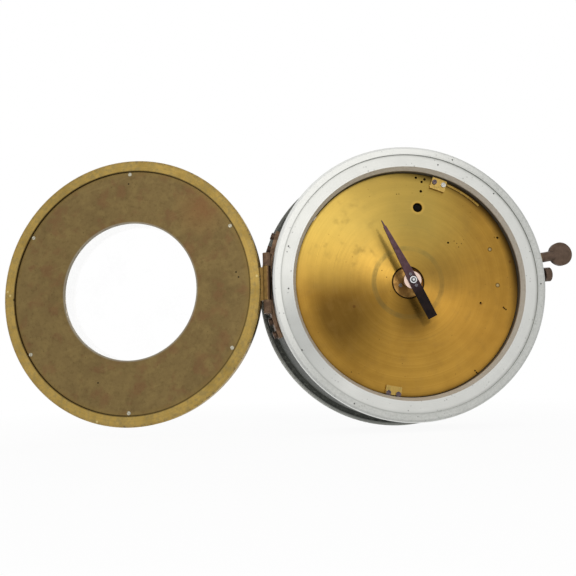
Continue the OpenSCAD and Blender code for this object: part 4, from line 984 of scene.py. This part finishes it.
class CLOCK_OT_hand(bpy.types.Operator):
    """Finish the hand, its collet and its screws"""

    bl_idname = "clock.hand"
    bl_label = "Hand"

    # The hand is drawn turned by this many degrees to the left of upright
    drawn_angle = 25.5

    def execute(self, context):
        settings = context.scene.ship_clock.hand
        angle = math.radians(self.drawn_angle)
        tip = Vector((-math.sin(angle), 0, math.cos(angle)))

        # Sheet steel, filed and blued by heat: purple-brown on the blade and blue-black on the tail, with a
        # brighter line where its edges were filed
        def make_hand(tree):
            place = clock_place(tree)
            heat = fade(tree, toward(tree, place, tip), -12, 8)
            bloom = blotches(tree, place, 5, 0.4, 0.64)
            file = blotches(tree, place, 0.8, 0.4, 0.65, 2, (0.3, 1, 0.3))
            colour = layers(tree, list(settings.tail), (heat, 1, list(settings.heated)),
                            (bloom, 0.3, "#2E211D"), (product(tree, heat, file), 0.25, "#5A4750"),
                            (worn_edges(tree, 0.18), 0.35, "#5F4F55"))
            return {"Base Color": colour, "Roughness": vary(tree, bloom, 0.28, 0.45)}, (file, 0.008)

        # Polished steel washer
        def make_washer(tree):
            place = clock_place(tree)
            rings = turned(tree, reach(tree, across(tree, place)), 0.3)
            colour = layers(tree, "#C7C8C9", (rings, 0.5, "#9C9EA0"))
            return {"Base Color": colour, "Roughness": vary(tree, rings, 0.18, 0.32)}, (rings, 0.004)

        # Nickel-plated collet: pinkish white with a soft polish
        plated = clouded("nickel_plated_collet", "#C2ADA2", cloud=(2.5, 0.4, 0.65), stain=(0.5, "#A18B7E"),
                         edge=(0.2, 0.5, "#D8CBC3"), rough=(0.28, 0.42), depth=0.006)
        # Blackened steel screws
        black = clouded("blackened_screw_steel", "#57545A", cloud=(0.9, 0.4, 0.65, 2),
                        stain=(0.5, "#6B6567"), edge=(0.12, 0.6, "#9A9698"), rough=(0.25, 0.4), depth=0.004)
        dress(metal("heat_blued_steel", make_hand), "hand")
        dress(plated, "hand_collet")
        dress(black, "hand_screws")
        dress(metal("polished_washer_steel", make_washer), "hand_ring")
        return {"FINISHED"}


class CLOCK_OT_controls(bpy.types.Operator):
    """Finish the thumb key, the push button and their bushes"""

    bl_idname = "clock.controls"
    bl_label = "Side controls"

    def execute(self, context):
        # Turned bronze, browned by many hands: dark and smooth, with darker edges
        def make_control(tree):
            place = clock_place(tree)
            hand_worn = blotches(tree, place, 4, 0.4, 0.62)
            fine = blotches(tree, place, 1.0, 0.42, 0.66, 3)
            colour = layers(tree, "#58463A", (hand_worn, 0.6, "#45362A"), (fine, 0.3, "#6B5843"),
                            (worn_edges(tree, 0.4), 0.5, "#3A2D22"))
            rough = vary(tree, hand_worn, 0.42, 0.58)
            return {"Base Color": colour, "Roughness": rough, "Metallic": 0.6}, (fine, 0.02)

        # Turned brass bushes: dull, with brown stains and rubbed edges
        dull = clouded("turned_bush_brass", "#85714A", cloud=(3, 0.38, 0.6), stain=(0.6, "#5F4C31"),
                       edge=(0.35, 0.7, "#BFA877"), rough=(0.36, 0.55), depth=0.015)
        dress(metal("handled_bronze", make_control), "thumb_key", "push_button")
        dress(dull, "key_bush", "button_bush", "key_collar", "button_collar")
        return {"FINISHED"}


class CLOCK_OT_return_spring(bpy.types.Operator):
    """Coil the push button's return spring"""

    bl_idname = "clock.return_spring"
    bl_label = "Return spring"

    # Millimetres, and counts round the wire and round a turn
    wire_r = 0.4
    pitch = 2.4
    wire_sides = 10
    turn_steps = 28

    def execute(self, context):
        press = joint("button_press")
        outward = -Vector(press["axis"])
        drawn = frame["nodes"]["button_spring"]
        points = [drawn.matrix_world @ v.co for v in drawn.data.vertices]
        along = [p.dot(outward) for p in points]
        depths = [p.y for p in points]
        low, high = min(along), max(along)
        length = high - low
        wire = self.wire_r / MM
        radius = (max(depths) - min(depths)) / 2 - wire
        middle = Vector((0, (max(depths) + min(depths)) / 2, 0))
        turns = round((length - 2 * wire) * MM / self.pitch)
        sheet = bmesh.new()
        rings = []
        for k in range(turns * self.turn_steps + 1):
            angle = 2 * math.pi * k / self.turn_steps
            rise = low + wire + (length - 2 * wire) * k / (turns * self.turn_steps)
            rings.append(self.wire_ring(sheet, middle, outward, angle, rise, radius, wire))
        for first, second in zip(rings, rings[1:]):
            for k in range(self.wire_sides):
                n = (k + 1) % self.wire_sides
                sheet.faces.new((first[k], first[n], second[n], second[k]))
        sheet.faces.new(rings[0][::-1])
        sheet.faces.new(rings[-1])
        bmesh.ops.recalc_face_normals(sheet, faces=sheet.faces[:])
        mesh = mesh_of("return_spring", sheet)
        mesh.shade_smooth()
        mesh.materials.append(bpy.data.materials["burnished_steel"])
        piece = add("return_spring", mesh)
        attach(piece, "case")
        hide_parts("button_spring")
        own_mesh(piece)
        return {"FINISHED"}

    def wire_ring(self, sheet, middle, outward, angle, rise, radius, wire):
        """One ring of points round the wire."""
        aside = Vector((0, 1, 0))
        lean = math.cos(angle) * aside + math.sin(angle) * outward.cross(aside)
        heart = middle + rise * outward + radius * lean
        turn = 2 * math.pi / self.wire_sides
        return [sheet.verts.new(heart + wire * (math.cos(k * turn) * lean + math.sin(k * turn) * outward))
                for k in range(self.wire_sides)]


class CLOCK_OT_stage(bpy.types.Operator):
    """Set up the floor, the lamps, the surroundings and the camera"""

    bl_idname = "clock.stage"
    bl_label = "Studio"

    # In metres, but the sensor's width in millimetres. Each lamp has its name, place, side, power setting
    # and colour
    floor_half = 12
    floor_gap = 0.0002
    lamps = (("key_lamp", (0.045, -1.5, 0.42), 0.2, "key_power", "#FFFBF4"),
             ("fill_lamp", (-0.75, -1.2, 1.3), 0.9, "fill_power", "#FFFFFF"),
             ("back_lamp", (0.9, 1.2, 1.1), 1.0, "fill_power", "#FFFFFF"))
    lamps_aim = (-0.05, -0.06, 0)
    camera_place = (-0.14769, -0.57811, -0.07208)
    camera_forward = (0.08442, 0.98771, 0.13151)
    camera_right = (0.99627, -0.0813, -0.02893)
    sensor_width = 36
    nearest_seen = 0.01
    # The floor's faint shadow in millimetres: its middle, across and in depth, and the radii between which
    # it fades from its own white to the full one
    shadow_at = (-100, -60)
    shadow_fades = (200, 600)
    shadow_white = 0.94

    def execute(self, context):
        scene = context.scene
        settings = scene.ship_clock.studio
        scene.view_settings.view_transform = "Standard"
        self.lay_floor()
        self.light_surroundings(scene, settings)
        for name, place, side, power, colour in self.lamps:
            self.hang_lamp(name, place, side, getattr(settings, power), colour)
        self.place_camera(scene, settings)
        return {"FINISHED"}

    def seen_rays(self, tree):
        """One for the rays that show the surroundings themselves."""
        path = put(tree, "ShaderNodeLightPath").node
        return either(tree, path.outputs["Is Camera Ray"], path.outputs["Is Glossy Ray"],
                      path.outputs["Is Transmission Ray"])

    def lay_floor(self):
        """A pale floor under the clock that keeps a faint shadow."""
        level = CAD_BOX[0][2] - self.floor_gap
        sheet = bmesh.new()
        grid = bmesh.ops.create_grid(sheet, x_segments=8, y_segments=8, size=self.floor_half)
        bmesh.ops.translate(sheet, verts=grid["verts"], vec=(0, 0, level))
        floor = add("floor", mesh_of("floor", sheet))
        mat = bpy.data.materials.new("studio_paper")
        tree = blank(mat)
        paper = put(tree, "ShaderNodeBsdfDiffuse", {"Color": "#F4F4F4"})
        glow = put(tree, "ShaderNodeEmission", {"Color": "#FFFFFF", "Strength": 1.0})
        distance = put(tree, "ShaderNodeVectorMath",
                       {0: clock_place(tree), 1: (*self.shadow_at, level * MM)},
                       operation="DISTANCE").node.outputs["Value"]
        white = vary(tree, fade(tree, distance, *self.shadow_fades), self.shadow_white, 1.0)
        shown = product(tree, self.seen_rays(tree), white)
        put(tree, "ShaderNodeOutputMaterial",
            {"Surface": put(tree, "ShaderNodeMixShader", {0: shown, 1: paper, 2: glow})})
        floor.data.materials.append(mat)

    def light_surroundings(self, scene, settings):
        """White where the surroundings are seen, and a softer light on everything else."""
        world = bpy.data.worlds.new("studio")
        tree = blank(world)
        soft = put(tree, "ShaderNodeBackground", {"Color": "#FFFFFF", "Strength": settings.sky})
        white = put(tree, "ShaderNodeBackground", {"Color": "#FFFFFF", "Strength": 1.0})
        put(tree, "ShaderNodeOutputWorld",
            {"Surface": put(tree, "ShaderNodeMixShader", {0: self.seen_rays(tree), 1: soft, 2: white})})
        scene.world = world

    def hang_lamp(self, name, place, size, power, colour):
        """A square lamp that points at the clock."""
        lamp = bpy.data.lights.new(name, "AREA")
        lamp.size = size
        lamp.energy = power
        lamp.color = linear(colour)[:3]
        carrier = add(name, lamp)
        carrier.location = place
        aim = Vector(self.lamps_aim) - Vector(place)
        carrier.rotation_euler = aim.to_track_quat("-Z", "Y").to_euler()
        carrier.visible_camera = False

    def place_camera(self, scene, settings):
        """The camera stands low at the left of the clock and looks a little up."""
        lens = bpy.data.cameras.new("camera")
        lens.lens = settings.lens
        lens.sensor_width = self.sensor_width
        lens.sensor_fit = "HORIZONTAL"
        lens.clip_start = self.nearest_seen
        camera = add("camera", lens)
        right = Vector(self.camera_right)
        forward = Vector(self.camera_forward).normalized()
        right = (right - right.dot(forward) * forward).normalized()
        up = right.cross(forward)
        camera.matrix_world = Matrix.Translation(self.camera_place) @ Matrix(
            (right, up, -forward)).transposed().to_4x4()
        scene.camera = camera


class CLOCK_PT_pieces(bpy.types.Panel):
    """Pieces of the ship clock"""

    bl_label = "Ship clock"
    bl_idname = "CLOCK_PT_pieces"
    bl_space_type = "VIEW_3D"
    bl_region_type = "UI"
    bl_category = "Ship clock"

    def draw(self, context):
        for name in STEPS:
            self.layout.operator("clock." + name)
        settings = context.scene.ship_clock
        for group in (settings.case, settings.plate, settings.door, settings.hand, settings.studio):
            box = self.layout.box()
            for name in group.__annotations__:
                box.prop(group, name)


STEPS = ("case", "front_plate", "movement", "clamps", "hinge", "bezel", "dial", "glass", "hand",
         "controls", "return_spring", "stage")
CLASSES = (CaseFinish, PlateFinish, DoorFinish, HandFinish, StudioSettings, ClockSettings,
           CLOCK_OT_case, CLOCK_OT_front_plate, CLOCK_OT_movement, CLOCK_OT_clamps, CLOCK_OT_hinge,
           CLOCK_OT_bezel, CLOCK_OT_dial, CLOCK_OT_glass, CLOCK_OT_hand, CLOCK_OT_controls,
           CLOCK_OT_return_spring, CLOCK_OT_stage, CLOCK_PT_pieces)


def register():
    for item in CLASSES:
        bpy.utils.register_class(item)
    bpy.types.Scene.ship_clock = bpy.props.PointerProperty(type=ClockSettings)


def unregister():
    del bpy.types.Scene.ship_clock
    for item in reversed(CLASSES):
        bpy.utils.unregister_class(item)


def main():
    """Finishes the clock piece by piece."""
    register()
    for name in STEPS:
        getattr(bpy.ops.clock, name)()
    bpy.context.view_layer.update()


if __name__ == "__main__":
    main()
